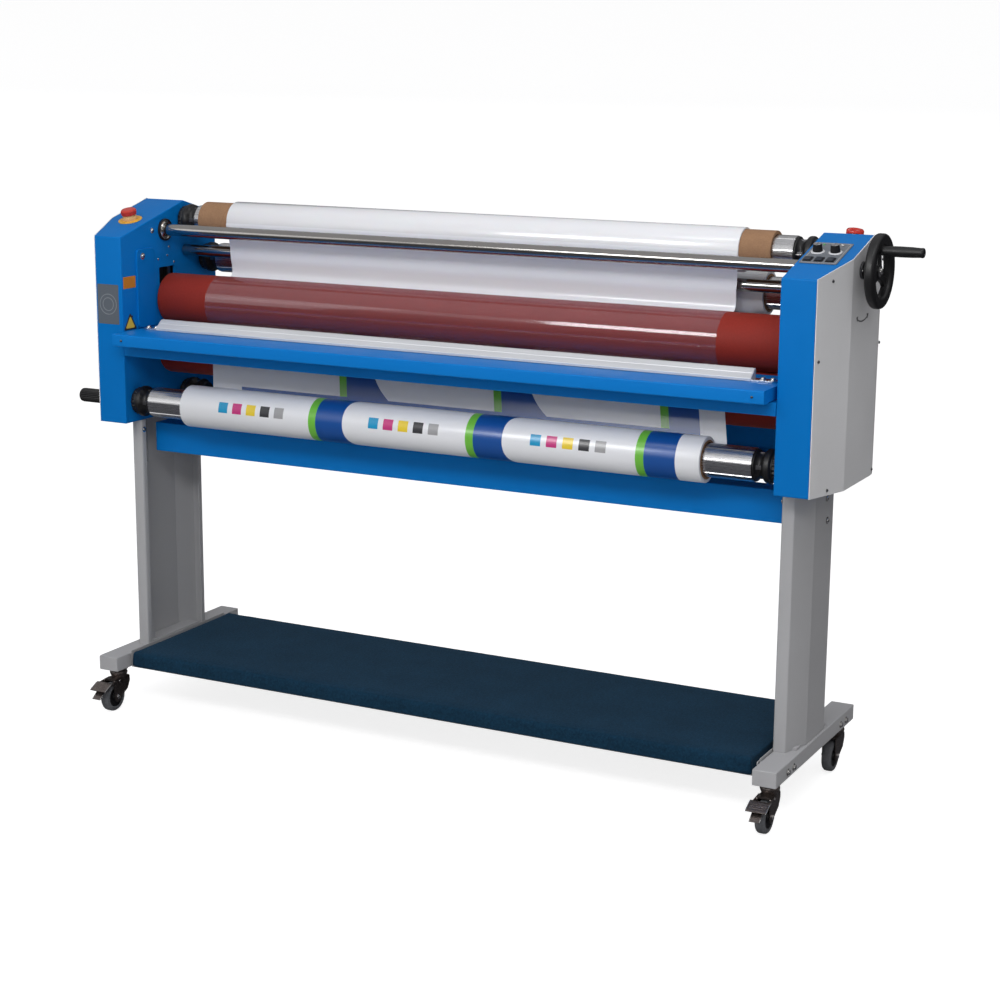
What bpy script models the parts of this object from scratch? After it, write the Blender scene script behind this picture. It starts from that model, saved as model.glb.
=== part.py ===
"""Cold roll laminator: a free-standing, roll-to-roll pressure laminator on castors.

Frame: metres, +Z up, +X towards the handwheel side, -Y towards the operator.
The origin is on the floor, under the middle of the machine's overall footprint. Every
dimension below is measured from the floor, from the plane midway between the cabinets
and from the main rollers' axis; the empty "machine", parent of every part, carries the
offset between the two.
"""
import math

import bmesh
import bpy
from mathutils import Matrix, Vector

# ---------------------------------------------------------------- driving dimensions
GAP = 0.0003                 # clearance left between touching pieces
SHEET = 0.002                # folded cover sheet
LEFT, RIGHT = -1, 1
FOOTPRINT_MIDDLE = (0.043, -0.0235, 0.0)     # of the overall box, from the machine's middle

INNER_X = 0.850              # inner face of each side frame
FRAME_PLATE = 0.008          # side frame plate thickness
CABINET_FRONT_Y, CABINET_BACK_Y = -0.200, 0.200
CABINET_BOTTOM_Z = 0.735
FRONT_TOP_Z = 1.198
RIDGE_Y, RIDGE_Z = 0.064, 1.272
BACK_TOP_Z = 1.234
CABINET_FRONT_X, CABINET_BACK_X = 0.9305, 0.935
CABINET_OUTER_X = 0.967
BEND_FRONT_Y, BEND_BACK_Y = -0.080, 0.130

ROLLER_R = 0.063             # main rollers, over the silicone
ROLLER_CORE_R = 0.054
ROLLER_HALF = 0.846
AXLE_R = 0.0125
BOTTOM_ROLLER_Z = 0.904
TOP_ROLLER_Z = BOTTOM_ROLLER_Z + 2 * ROLLER_R + GAP
ROLLER_Y = 0.0
NIP_OPENING = 0.025

LIFT_SHAFT_Y, LIFT_SHAFT_Z = -0.020, 1.204
LIFT_SHAFT_R = 0.0135
LIFT_JOURNAL_R = 0.0105
GEAR_MODULE = 0.00225
PINION_TEETH = 16
PINION_R = GEAR_MODULE * PINION_TEETH / 2
BACKLASH = 0.0005
SLOT_Y = (-0.046, 0.022)
SLOT_Z = (0.9995, 1.111)

IDLER_Y, IDLER_Z, IDLER_R = 0.0625, 1.147, 0.0145
SUPPLY_Y, SUPPLY_Z = 0.065, 1.225
REWIND_Y, REWIND_Z = 0.152, 1.122
MEDIA_Y, MEDIA_Z = -0.150, 0.788
TAKEUP_Y, TAKEUP_Z = 0.055, 0.782
SHAFT_R, SHAFT_WALL = 0.0345, 0.003      # aluminium roll shaft
SHAFT_HALF = 0.793
CORE_R, CORE_BORE_R = 0.046, 0.0385      # three inch cardboard core
CHUCK_R, CHUCK_NOSE_R, CHUCK_STUB_R = 0.031, 0.030, 0.010
CHUCK_TIP_X, CHUCK_WALL_X, CHUCK_STUB_X = 0.782, 0.8492, 0.876
ROLL_HALF = 0.6858                       # 54 inch wide film and media
CORE_END_X = (-0.775, 0.745)             # the cardboard core's ends
FILM_END_X, MEDIA_END_X = 0.672, 0.680   # right-hand ends of the film and media rolls
GUIDE_END_X = (-0.785, 0.773)            # the guide bar's ends
FILM_ROLL_R, LINER_ROLL_R, MEDIA_ROLL_R = 0.050, 0.050, 0.0513

TABLE_TOP_Z, TABLE_BOTTOM_Z = 0.9675, 0.938
TABLE_FRONT_Y, TABLE_NOSE_Y = -0.255, -0.045
TABLE_HALF = 0.842

FOOT_X = (0.850, 0.906)
FOOT_HALF_LENGTH = 0.269
FOOT_Z = (0.108, 0.145)
COLUMN_TOP_Z = CABINET_BOTTOM_Z - 2 * GAP
CASTER_X = 0.878
CASTER_Y = (-0.228, 0.218)
CASTER_TRAIL = 0.027
WHEEL_R, WHEEL_WIDTH = 0.0375, 0.022

HANDWHEEL_R, HANDWHEEL_X = 0.080, 1.005
GRIP_Y, GRIP_Z = -0.048, 1.250
GRIP_END_X = 1.108

# ---------------------------------------------------------------- scene and materials
OBJECT_NAME = "cold_roll_laminator"

PALETTE = {                  # colour, roughness, metallic
    "blue_paint": ((0.010, 0.150, 0.520), 0.35, 0.1),
    "grey_paint": ((0.420, 0.420, 0.440), 0.45, 0.1),
    "light_grey_paint": ((0.560, 0.570, 0.570), 0.45, 0.1),
    "silicone": ((0.330, 0.040, 0.030), 0.55, 0.0),
    "steel": ((0.560, 0.560, 0.550), 0.25, 1.0),
    "dark_steel": ((0.200, 0.200, 0.210), 0.35, 1.0),
    "aluminium": ((0.780, 0.780, 0.780), 0.30, 1.0),
    "pale_aluminium": ((0.700, 0.710, 0.730), 0.45, 0.4),
    "cardboard": ((0.380, 0.220, 0.120), 0.85, 0.0),
    "white_film": ((0.850, 0.860, 0.900), 0.25, 0.0),
    "printed_media": ((0.820, 0.830, 0.860), 0.35, 0.0),
    "black_plastic": ((0.015, 0.015, 0.017), 0.40, 0.0),
    "panel_grey": ((0.180, 0.190, 0.210), 0.50, 0.0),
    "stop_red": ((0.600, 0.030, 0.015), 0.35, 0.0),
    "shelf_fabric": ((0.012, 0.040, 0.075), 0.90, 0.0),
    "wheel_rubber": ((0.060, 0.060, 0.060), 0.70, 0.0),
}


def clear_scene():
    """Remove every object of the start-up scene."""
    for item in list(bpy.data.objects):
        bpy.data.objects.remove(item, do_unlink=True)


def new_collection(name):
    """Make a collection under the scene and return it."""
    made = bpy.data.collections.new(name)
    bpy.context.scene.collection.children.link(made)
    return made


def material(name):
    """Return the Principled material of one palette entry, made on first use."""
    if name in bpy.data.materials:
        return bpy.data.materials[name]
    colour, roughness, metallic = PALETTE[name]
    made = bpy.data.materials.new(name)
    made.use_nodes = True
    shader = made.node_tree.nodes["Principled BSDF"]
    shader.inputs["Base Color"].default_value = (*colour, 1.0)
    shader.inputs["Roughness"].default_value = roughness
    shader.inputs["Metallic"].default_value = metallic
    return made


clear_scene()
PARTS = new_collection(OBJECT_NAME)
CUTTERS = new_collection(OBJECT_NAME + "_cutters")
MACHINE = bpy.data.objects.new("machine", None)
MACHINE.location = -Vector(FOOTPRINT_MIDDLE)
PARTS.objects.link(MACHINE)


# ---------------------------------------------------------------- modelling helpers
def add_object(name, mesh, finish=None):
    """Link a mesh as a finished part, or as a hidden cutter when it has no finish."""
    made = bpy.data.objects.new(name, mesh)
    made.parent = MACHINE
    if finish is None:
        CUTTERS.objects.link(made)
        made.hide_render = True
        made.display_type = "WIRE"
        return made
    PARTS.objects.link(made)
    mesh.materials.append(material(finish))
    return made


def smooth(item, angle=math.radians(35)):
    """Shade a round piece smooth, with its corners kept sharp."""
    item.data.shade_smooth()
    item.data.set_sharp_from_angle(angle=angle)


def box(name, low, high, finish=None):
    """A box between two corners, with its origin at its centre."""
    low, high = Vector(low), Vector(high)
    size = high - low
    shape = bmesh.new()
    bmesh.ops.create_cube(shape, size=1.0, matrix=Matrix.Diagonal((*size, 1.0)))
    mesh = bpy.data.meshes.new(name)
    shape.to_mesh(mesh)
    shape.free()
    made = add_object(name, mesh, finish)
    made.location = (low + high) / 2
    return made


def side_box(name, side, x_range, y_range, z_range, finish=None):
    """A box on one side of the machine; x_range is measured outwards from the middle."""
    low_x, high_x = sorted(side * x for x in x_range)
    return box(name, (low_x, y_range[0], z_range[0]), (high_x, y_range[1], z_range[1]), finish)


AXIS_TURN = {"X": (0, math.pi / 2, 0), "Y": (-math.pi / 2, 0, 0), "Z": (0, 0, 0)}


def cylinder(name, radius, start, end, axis, centre, finish=None, segments=24):
    """A cylinder along X, Y or Z from start to end; centre gives its axis line."""
    shape = bmesh.new()
    shift = Matrix.Translation((0, 0, (start + end) / 2))
    bmesh.ops.create_cone(shape, cap_ends=True, segments=segments, radius1=radius,
                          radius2=radius, depth=end - start, matrix=shift)
    mesh = bpy.data.meshes.new(name)
    shape.to_mesh(mesh)
    shape.free()
    made = add_object(name, mesh, finish)
    made.location = centre
    made.rotation_euler = AXIS_TURN[axis]
    smooth(made)
    return made


def turned(name, profile, centre, finish=None, axis="X", segments=20):
    """A turned piece: (radius, position) points down the outer side, spun about an axis.

    Positions are measured along the axis from the centre. A profile that starts and ends
    at radius zero is solid; any other profile is closed into a ring.
    """
    count = len(profile)
    edges = [(index, index + 1) for index in range(count - 1)]
    if profile[0][0] > 0:
        edges.append((count - 1, 0))
    mesh = bpy.data.meshes.new(name)
    mesh.from_pydata([(radius, 0, along) for radius, along in profile], edges, [])
    made = add_object(name, mesh, finish)
    made.location = centre
    made.rotation_euler = AXIS_TURN[axis]
    spin = made.modifiers.new("spin", "SCREW")
    spin.steps = spin.render_steps = segments
    spin.use_merge_vertices = True
    spin.merge_threshold = 0.00005
    spin.use_smooth_shade = False
    return made


def tube(name, outer, inner, start, end, centre, finish, segments=20):
    """A tube along X."""
    profile = [(outer, end), (outer, start), (inner, start), (inner, end)]
    return turned(name, profile, centre, finish, segments=segments)


PLANE_TURN = {               # outline axes: YZ is pushed along X, XZ along Y, XY along Z
    "YZ": Matrix(((0, 0, 1, 0), (1, 0, 0, 0), (0, 1, 0, 0), (0, 0, 0, 1))),
    "XZ": Matrix(((1, 0, 0, 0), (0, 0, -1, 0), (0, 1, 0, 0), (0, 0, 0, 1))),
    "XY": Matrix.Identity(4),
}


def prism(name, outline, plane, start, end, finish=None):
    """A flat outline, given in a machine plane, pushed from start to end along its normal."""
    curve = bpy.data.curves.new(name + "_outline", "CURVE")
    curve.dimensions = "2D"
    curve.fill_mode = "BOTH"
    curve.extrude = (end - start) / 2
    spline = curve.splines.new("POLY")
    spline.points.add(len(outline) - 1)
    for point, (first, second) in zip(spline.points, outline):
        point.co = (first, second, 0, 1)
    spline.use_cyclic_u = True
    drawn = bpy.data.objects.new(name + "_outline", curve)
    CUTTERS.objects.link(drawn)
    bpy.context.view_layer.update()
    evaluated = drawn.evaluated_get(bpy.context.evaluated_depsgraph_get())
    mesh = bpy.data.meshes.new_from_object(evaluated)
    bpy.data.objects.remove(drawn, do_unlink=True)
    middle = (start + end) / 2
    if plane == "XZ":
        middle = -middle
    mesh.transform(PLANE_TURN[plane] @ Matrix.Translation((0, 0, middle)))
    shape = bmesh.new()
    shape.from_mesh(mesh)
    bmesh.ops.remove_doubles(shape, verts=shape.verts, dist=0.00001)
    bmesh.ops.recalc_face_normals(shape, faces=shape.faces)
    shape.to_mesh(mesh)
    shape.free()
    mesh.name = name
    mesh.materials.clear()
    return add_object(name, mesh, finish)


def offset_path(path, distance):
    """Shift an open path sideways, to the left of its direction, with mitred corners."""
    points = [Vector(point) for point in path]
    normals = []
    for first, second in zip(points, points[1:]):
        along = (second - first).normalized()
        normals.append(Vector((-along.y, along.x)))
    shifted = [points[0] + normals[0] * distance]
    for point, before, after in zip(points[1:-1], normals, normals[1:]):
        mitre = (before + after) / (1 + before.dot(after))
        shifted.append(point + mitre * distance)
    shifted.append(points[-1] + normals[-1] * distance)
    return [tuple(point) for point in shifted]


def strip(path, thickness):
    """The closed outline of a bent sheet whose outer face follows a path."""
    return list(path) + offset_path(path, thickness)[::-1]


def boolean(item, other, operation):
    """Cut, join or intersect a part with another solid, which is kept hidden."""
    change = item.modifiers.new(operation.lower(), "BOOLEAN")
    change.operation = operation
    change.solver = "EXACT"
    change.object = other
    return item


def cut(item, *cutters):
    for cutter in cutters:
        boolean(item, cutter, "DIFFERENCE")
    return item


def join(item, *others):
    for other in others:
        boolean(item, other, "UNION")
    return item


def bevel(item, width, segments=2, angle=math.radians(40)):
    """Round the sharp edges of a piece."""
    rounding = item.modifiers.new("bevel", "BEVEL")
    rounding.width = width
    rounding.segments = segments
    rounding.limit_method = "ANGLE"
    rounding.angle_limit = angle
    return item


def move_origin(item, point):
    """Put a part's origin at a point of the machine without moving its shape."""
    shift = item.matrix_basis.inverted() @ Vector(point)
    item.data.transform(Matrix.Translation(-shift))
    item.location = point
    return item


def side_name(side):
    return "left" if side == LEFT else "right"


def arc(centre, radius, start_degrees, end_degrees, count):
    """Points along an arc in a plane."""
    points = []
    for index in range(count + 1):
        angle = math.radians(start_degrees + (end_degrees - start_degrees) * index / count)
        points.append((centre[0] + radius * math.cos(angle),
                       centre[1] + radius * math.sin(angle)))
    return points


# ---------------------------------------------------------------- stand: feet, columns, beam
CASTER_STEM_R = 0.006


def foot(side):
    """A rectangular tube foot, with a hole in its underside for each castor stem."""
    name = side_name(side) + "_foot"
    y_range = (-FOOT_HALF_LENGTH, FOOT_HALF_LENGTH)
    wall = 0.003
    made = side_box(name, side, FOOT_X, y_range, FOOT_Z, "grey_paint")
    hollow = side_box(name + "_hollow", side, (FOOT_X[0] + wall, FOOT_X[1] - wall),
                      (y_range[0] + wall, y_range[1] - wall), (FOOT_Z[0] + wall, FOOT_Z[1] - wall))
    cut(made, hollow)
    for index, y in enumerate(CASTER_Y):
        hole = cylinder(f"{name}_stem_hole_{index}", CASTER_STEM_R + 0.001, FOOT_Z[0] - 0.002,
                        FOOT_Z[0] + 0.006, "Z", (side * CASTER_X, y, 0), segments=24)
        cut(made, hole)


COLUMN_PATH = [(0.849, -0.122), (0.849, -0.138), (0.878, -0.138), (0.9006, -0.062),
               (0.9006, 0.060), (0.878, 0.114), (0.849, 0.114), (0.849, 0.098)]


def column(side):
    """A folded channel column, open towards the middle of the machine."""
    name = side_name(side) + "_column"
    outline = [(side * x, y) for x, y in strip(COLUMN_PATH, 0.003)]
    prism(name, outline, "XY", FOOT_Z[1] + GAP, COLUMN_TOP_Z, "light_grey_paint")


def channel_beam(name, half, y_range, z_range, wall, finish):
    """A pressed channel across the machine: closed front, top, bottom and ends, open back."""
    made = box(name, (-half, y_range[0], z_range[0]), (half, y_range[1], z_range[1]), finish)
    hollow = box(name + "_hollow", (-half + wall, y_range[0] + wall, z_range[0] + wall),
                 (half - wall, y_range[1] + wall, z_range[1] - wall))
    return cut(made, hollow)


def cross_members():
    """The lower beam between the columns, the rail under the table and the rear panel."""
    channel_beam("lower_beam", 0.8485, (-0.082, -0.022), (0.648, 0.722), 0.003, "blue_paint")
    channel_beam("table_rail", 0.8495, (-0.200, -0.165), (0.906, 0.936), SHEET, "blue_paint")
    lip = 0.018
    path = [(0.190 - lip, 0.745), (0.190, 0.745), (0.190, 0.930), (0.190 - lip, 0.930)]
    prism("rear_panel", strip(path, SHEET), "YZ", -0.8495, 0.8495, "blue_paint")


def shelf():
    """The low shelf: a pressed tray between the feet, with a padded fabric cover on it."""
    tray = box("shelf_tray", (-0.8485, -0.212, 0.1080), (0.8485, 0.196, 0.1505), "light_grey_paint")
    room = box("shelf_tray_room", (-0.8465, -0.25, 0.1105), (0.8465, 0.25, 0.20))
    cut(tray, room)
    pad = box("shelf_pad", (-0.831, -0.2264, 0.1110), (0.831, 0.2094, 0.1507), "shelf_fabric")
    bevel(pad, 0.010, segments=3)


# ---------------------------------------------------------------- cabinets
CABINET_SIDE = [(CABINET_FRONT_Y, CABINET_BOTTOM_Z), (CABINET_FRONT_Y, FRONT_TOP_Z),
                (RIDGE_Y, RIDGE_Z), (CABINET_BACK_Y, BACK_TOP_Z),
                (CABINET_BACK_Y, CABINET_BOTTOM_Z)]
COVER_PLAN = [(CABINET_FRONT_X, CABINET_FRONT_Y), (CABINET_OUTER_X, BEND_FRONT_Y),
              (CABINET_OUTER_X, BEND_BACK_Y), (CABINET_BACK_X, CABINET_BACK_Y)]
SLOPE_ANGLE = math.atan2(RIDGE_Z - FRONT_TOP_Z, RIDGE_Y - CABINET_FRONT_Y)
REAR_SLOPE_ANGLE = math.atan2(RIDGE_Z - BACK_TOP_Z, CABINET_BACK_Y - RIDGE_Y)


def front_slope_z(y):
    return FRONT_TOP_Z + (y - CABINET_FRONT_Y) * math.tan(SLOPE_ANGLE)


def rear_slope_z(y):
    return RIDGE_Z - (y - RIDGE_Y) * math.tan(REAR_SLOPE_ANGLE)


def frame_outline():
    """The side frame plate: the cabinet's side view, less the shell, plus a tongue
    that hangs down inside the column."""
    inner = offset_path(CABINET_SIDE, -(SHEET + GAP))
    front_bottom, back_bottom = CABINET_BOTTOM_Z + 0.003, CABINET_BOTTOM_Z + 0.010
    inner[0] = (inner[0][0], front_bottom)
    inner[-1] = (inner[-1][0], back_bottom)
    tongue = [(0.088, back_bottom), (0.088, 0.610), (-0.088, 0.610), (-0.088, front_bottom)]
    return inner + tongue


def bearing_cutters():
    """Long cutters, shared by both side frames, for every shaft that crosses them."""
    clearance = 0.0004
    places = {
        "lift": (LIFT_SHAFT_Y, LIFT_SHAFT_Z, LIFT_JOURNAL_R),
        "bottom_roller": (ROLLER_Y, BOTTOM_ROLLER_Z, AXLE_R),
        "idler": (IDLER_Y, IDLER_Z, 0.006),
        "supply": (SUPPLY_Y, SUPPLY_Z, CHUCK_STUB_R),
        "rewind": (REWIND_Y, REWIND_Z, CHUCK_STUB_R),
        "media": (MEDIA_Y, MEDIA_Z, CHUCK_STUB_R),
        "takeup": (TAKEUP_Y, TAKEUP_Z, CHUCK_STUB_R),
    }
    made = []
    for place, (y, z, radius) in places.items():
        made.append(cylinder(place + "_bearing_hole", radius + clearance, -0.95, 0.95, "X",
                             (0, y, z), segments=16))
    made.append(box("block_slot", (-0.95, SLOT_Y[0], SLOT_Z[0]), (0.95, SLOT_Y[1], SLOT_Z[1])))
    return made


def side_frame(side, cutters):
    """The thick inner plate that carries every roller, with a raised table bracket."""
    name = side_name(side) + "_side_frame"
    inner, outer = INNER_X, INNER_X + FRAME_PLATE
    x_range = sorted((side * inner, side * outer))
    made = prism(name, frame_outline(), "YZ", *x_range, "blue_paint")
    corner = arc((-0.132, 1.153), 0.010, 180, 90, 4)
    outline = [(-0.142, 0.9690)] + corner + [(-0.070, 1.163), (-0.070, 0.9690)]
    raised = sorted((side * (inner - 0.005), side * (inner + 0.002)))
    join(made, prism(name + "_bracket", outline, "YZ", *raised))
    return cut(made, *cutters)


def side_view_solid(name, side):
    """The whole side view pushed across one cabinet, used to trim its cover."""
    x_range = sorted((side * 0.80, side * 1.00))
    return prism(name, CABINET_SIDE, "YZ", *x_range)


def plan_solid(name, side):
    """The plan view inside one cabinet's cover, used to trim its shell."""
    inside = offset_path(COVER_PLAN, SHEET + GAP)
    front, back = inside[0], inside[-1]
    outline = [(0.80, -0.30), (front[0], -0.30)] + inside + [(back[0], 0.30), (0.80, 0.30)]
    return prism(name, [(side * x, y) for x, y in outline], "XY", 0.60, 1.40)


def cabinet(side):
    """One cabinet's blue shell and its grey outer cover."""
    name = side_name(side)
    lip = 0.020
    path = ([(CABINET_FRONT_Y + lip, CABINET_BOTTOM_Z)] + CABINET_SIDE
            + [(CABINET_BACK_Y - lip, CABINET_BOTTOM_Z)])
    x_range = sorted((side * INNER_X, side * CABINET_OUTER_X))
    shell = prism(name + "_shell", strip(path, -SHEET), "YZ", *x_range, "blue_paint")
    boolean(shell, plan_solid(name + "_plan", side), "INTERSECT")
    outline = [(side * x, y) for x, y in strip(COVER_PLAN, SHEET)]
    cover = prism(name + "_outer_cover", outline, "XY", 0.60, 1.40, "grey_paint")
    boolean(cover, side_view_solid(name + "_side_view", side), "INTERSECT")
    return shell, cover


# ---------------------------------------------------------------- controls on the slopes
def on_slope(side, x, y, rear=False):
    """The matrix of a place on a cabinet's top, with local Z along its normal."""
    angle = -REAR_SLOPE_ANGLE if rear else SLOPE_ANGLE
    z = rear_slope_z(y) if rear else front_slope_z(y)
    return Matrix.Translation((side * x, y, z)) @ Matrix.Rotation(angle, 4, "X")


def place(item, matrix):
    item.matrix_basis = matrix
    return item


ESTOP_CAP_R, ESTOP_STEM_R, ESTOP_TRAVEL = 0.0195, 0.008, 0.004
ESTOP_LOW, ESTOP_HIGH = 0.015, 0.029


def emergency_stop(side, shell, y, rear):
    """A mushroom button whose stem runs down through the shell."""
    name = side_name(side) + "_estop_button"
    profile = [(0, ESTOP_HIGH), (ESTOP_CAP_R * 0.75, ESTOP_HIGH), (ESTOP_CAP_R, ESTOP_HIGH - 0.005),
               (ESTOP_CAP_R, ESTOP_LOW + 0.002), (0.015, ESTOP_LOW), (ESTOP_STEM_R, ESTOP_LOW),
               (ESTOP_STEM_R, -0.014), (0, -0.014)]
    matrix = on_slope(side, 0.905, y, rear)
    button = turned(name, profile, (0, 0, 0), "stop_red", axis="Z", segments=20)
    place(button, matrix)
    hole = cylinder(name + "_hole", ESTOP_STEM_R + GAP, -0.02, 0.02, "Z", (0, 0, 0), segments=20)
    place(hole, matrix)
    cut(shell, hole)


PANEL_X, PANEL_Y = (0.857, 0.940), (-0.115, 0.003)
PANEL_THICK = 0.0015
KNOB_Y, KNOB_X = -0.052, {"speed_knob": 0.878, "winder_knob": 0.917}
BUTTON_Y = -0.094
BUTTON_X = {"stop_button": 0.871, "reverse_button": 0.896, "forward_button": 0.921}
BUTTON_SIZE = (0.0130, 0.0110)


def control_panel(shell):
    """The control plate on the right-hand slope, two knobs and three push buttons."""
    middle_y = sum(PANEL_Y) / 2
    middle_x = sum(PANEL_X) / 2
    matrix = on_slope(RIGHT, middle_x, middle_y)
    half_x = (PANEL_X[1] - PANEL_X[0]) / 2
    half_y = (PANEL_Y[1] - PANEL_Y[0]) / 2 / math.cos(SLOPE_ANGLE)
    plate = box("control_panel", (-half_x, -half_y, GAP), (half_x, half_y, GAP + PANEL_THICK),
                "panel_grey")
    plate.data.transform(Matrix.Translation((0, 0, GAP + PANEL_THICK / 2)))
    place(plate, matrix)
    for name, x in KNOB_X.items():
        base = GAP * 2 + PANEL_THICK
        profile = [(0, 0.021), (0.0085, 0.021), (0.0095, 0.019), (0.0098, 0.004), (0.0125, 0.003),
                   (0.0125, base), (0.003, base), (0.003, -0.010), (0, -0.010)]
        knob = turned(name, profile, (0, 0, 0), "black_plastic", axis="Z", segments=20)
        knob_matrix = on_slope(RIGHT, x, KNOB_Y)
        place(knob, knob_matrix)
        hole = cylinder(name + "_hole", 0.003 + GAP, -0.02, 0.02, "Z", (0, 0, 0), segments=20)
        place(hole, knob_matrix)
        cut(plate, hole)
        cut(shell, hole)
    for name, x in BUTTON_X.items():
        push_button(name, x, plate, shell)


def push_button(name, x, plate, shell):
    """A square push button in its hole in the panel and the shell."""
    width, depth = BUTTON_SIZE[0] / 2, BUTTON_SIZE[1] / 2
    low, high = -0.007, 0.0055
    button_matrix = on_slope(RIGHT, x, BUTTON_Y)
    button = box(name, (-width, -depth, low), (width, depth, high), "black_plastic")
    button.data.transform(Matrix.Translation((0, 0, (low + high) / 2)))
    place(button, button_matrix)
    hole = box(name + "_hole", (-width - GAP, -depth - GAP, -0.02),
               (width + GAP, depth + GAP, 0.02))
    place(hole, button_matrix)
    cut(plate, hole)
    cut(shell, hole)


# ---------------------------------------------------------------- main rollers and their lift
def roller(name, z):
    """A hollow steel roller with journals, under a silicone sleeve."""
    journal_x = 0.873
    core_r = ROLLER_CORE_R - GAP
    profile = [(0, journal_x), (AXLE_R, journal_x), (AXLE_R, ROLLER_HALF), (core_r, ROLLER_HALF),
               (core_r, -ROLLER_HALF), (AXLE_R, -ROLLER_HALF), (AXLE_R, -journal_x),
               (0, -journal_x)]
    centre = (0, ROLLER_Y, z)
    core = turned(name + "_core", profile, centre, "steel", segments=32)
    wall = 0.008
    inside = cylinder(name + "_core_bore", core_r - wall, -ROLLER_HALF + wall, ROLLER_HALF - wall,
                      "X", centre)
    vent = cylinder(name + "_core_vent", 0.004, 0.82, 0.86, "X",
                    (0, ROLLER_Y, z + ROLLER_CORE_R * 0.55), segments=12)
    cut(core, inside, vent)
    tube(name + "_sleeve", ROLLER_R, ROLLER_CORE_R, -ROLLER_HALF, ROLLER_HALF, centre,
         "silicone", segments=32)


def spur_gear(teeth, module):
    """The outline of a spur gear with straight flanks near the involute."""
    pitch_r = teeth * module / 2
    tip_r, root_r = pitch_r + 0.9 * module, pitch_r - 1.2 * module
    half_tooth = math.pi / (2 * teeth) - BACKLASH / (2 * pitch_r)
    lean = math.tan(math.radians(20)) / pitch_r
    half_root = half_tooth + lean * (pitch_r - root_r)
    half_tip = half_tooth - lean * (tip_r - pitch_r)
    outline = []
    for tooth in range(teeth):
        middle = 2 * math.pi * tooth / teeth
        corners = [(root_r, -half_root), (tip_r, -half_tip), (tip_r, half_tip),
                   (root_r, half_root)]
        outline += [(radius * math.cos(middle + turn), radius * math.sin(middle + turn))
                    for radius, turn in corners]
    return outline


def lift_shaft():
    """The cross shaft, with a pinion at each end that raises the top roller's blocks."""
    left_x, right_x = -0.884, 0.9915
    wide = 0.8475
    profile = [(0, right_x), (LIFT_JOURNAL_R - 0.002, right_x), (LIFT_JOURNAL_R - 0.002, 0.900),
               (LIFT_JOURNAL_R, 0.898), (LIFT_JOURNAL_R, wide), (LIFT_SHAFT_R, wide),
               (LIFT_SHAFT_R, -wide), (LIFT_JOURNAL_R, -wide), (LIFT_JOURNAL_R, left_x),
               (0, left_x)]
    shaft = turned("lift_shaft", profile, (0, LIFT_SHAFT_Y, LIFT_SHAFT_Z), "steel")
    outline = [(LIFT_SHAFT_Y + y, LIFT_SHAFT_Z + z)
               for y, z in spur_gear(PINION_TEETH, GEAR_MODULE)]
    for side in (LEFT, RIGHT):
        x_range = sorted((side * 0.861, side * 0.869))
        join(shaft, prism(side_name(side) + "_pinion", outline, "YZ", *x_range))


def rack_outline():
    """The rack beside the pinion: trapezoidal teeth towards it, a straight back."""
    pitch = math.pi * GEAR_MODULE
    pitch_y = LIFT_SHAFT_Y + PINION_R
    tip_y, root_y = pitch_y - 0.9 * GEAR_MODULE, pitch_y + 1.2 * GEAR_MODULE
    lean = math.tan(math.radians(20))
    half_gap = pitch / 4 + BACKLASH / 2
    points = []
    for index in range(-5, 3):
        middle = LIFT_SHAFT_Z + index * pitch
        deep, shallow = half_gap - lean * (root_y - pitch_y), half_gap + lean * (pitch_y - tip_y)
        points += [(tip_y, middle - shallow), (root_y, middle - deep),
                   (root_y, middle + deep), (tip_y, middle + shallow)]
    back_y = 0.014
    low, high = points[0][1] - 0.002, points[-1][1] + 0.0015
    return [(tip_y, low)] + points + [(tip_y, high), (back_y, high), (back_y, 1.050),
                                      (root_y, 1.050), (root_y, low)]


def lift_block(side):
    """The bearing block in the side frame's slot, its keeper plate and its rack."""
    name = side_name(side) + "_lift_block"
    clear = GAP
    made = side_box(name, side, (INNER_X + clear, 0.8600), (SLOT_Y[0] + clear, SLOT_Y[1] - clear),
                    (1.0000, 1.0610), "dark_steel")
    keeper = side_box(name + "_keeper", side, (INNER_X + FRAME_PLATE + clear, 0.870),
                      (SLOT_Y[0] - 0.010, SLOT_Y[1] + 0.010), (0.9930, 1.0680))
    x_range = sorted((side * 0.8600, side * 0.8700))
    rack = prism(name + "_rack", rack_outline(), "YZ", *x_range)
    bore_range = sorted((side * 0.80, side * 0.90))
    bore = cylinder(name + "_bore", AXLE_R + GAP, *bore_range, "X",
                    (0, ROLLER_Y, TOP_ROLLER_Z))
    join(made, keeper, rack)
    cut(made, bore)


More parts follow.
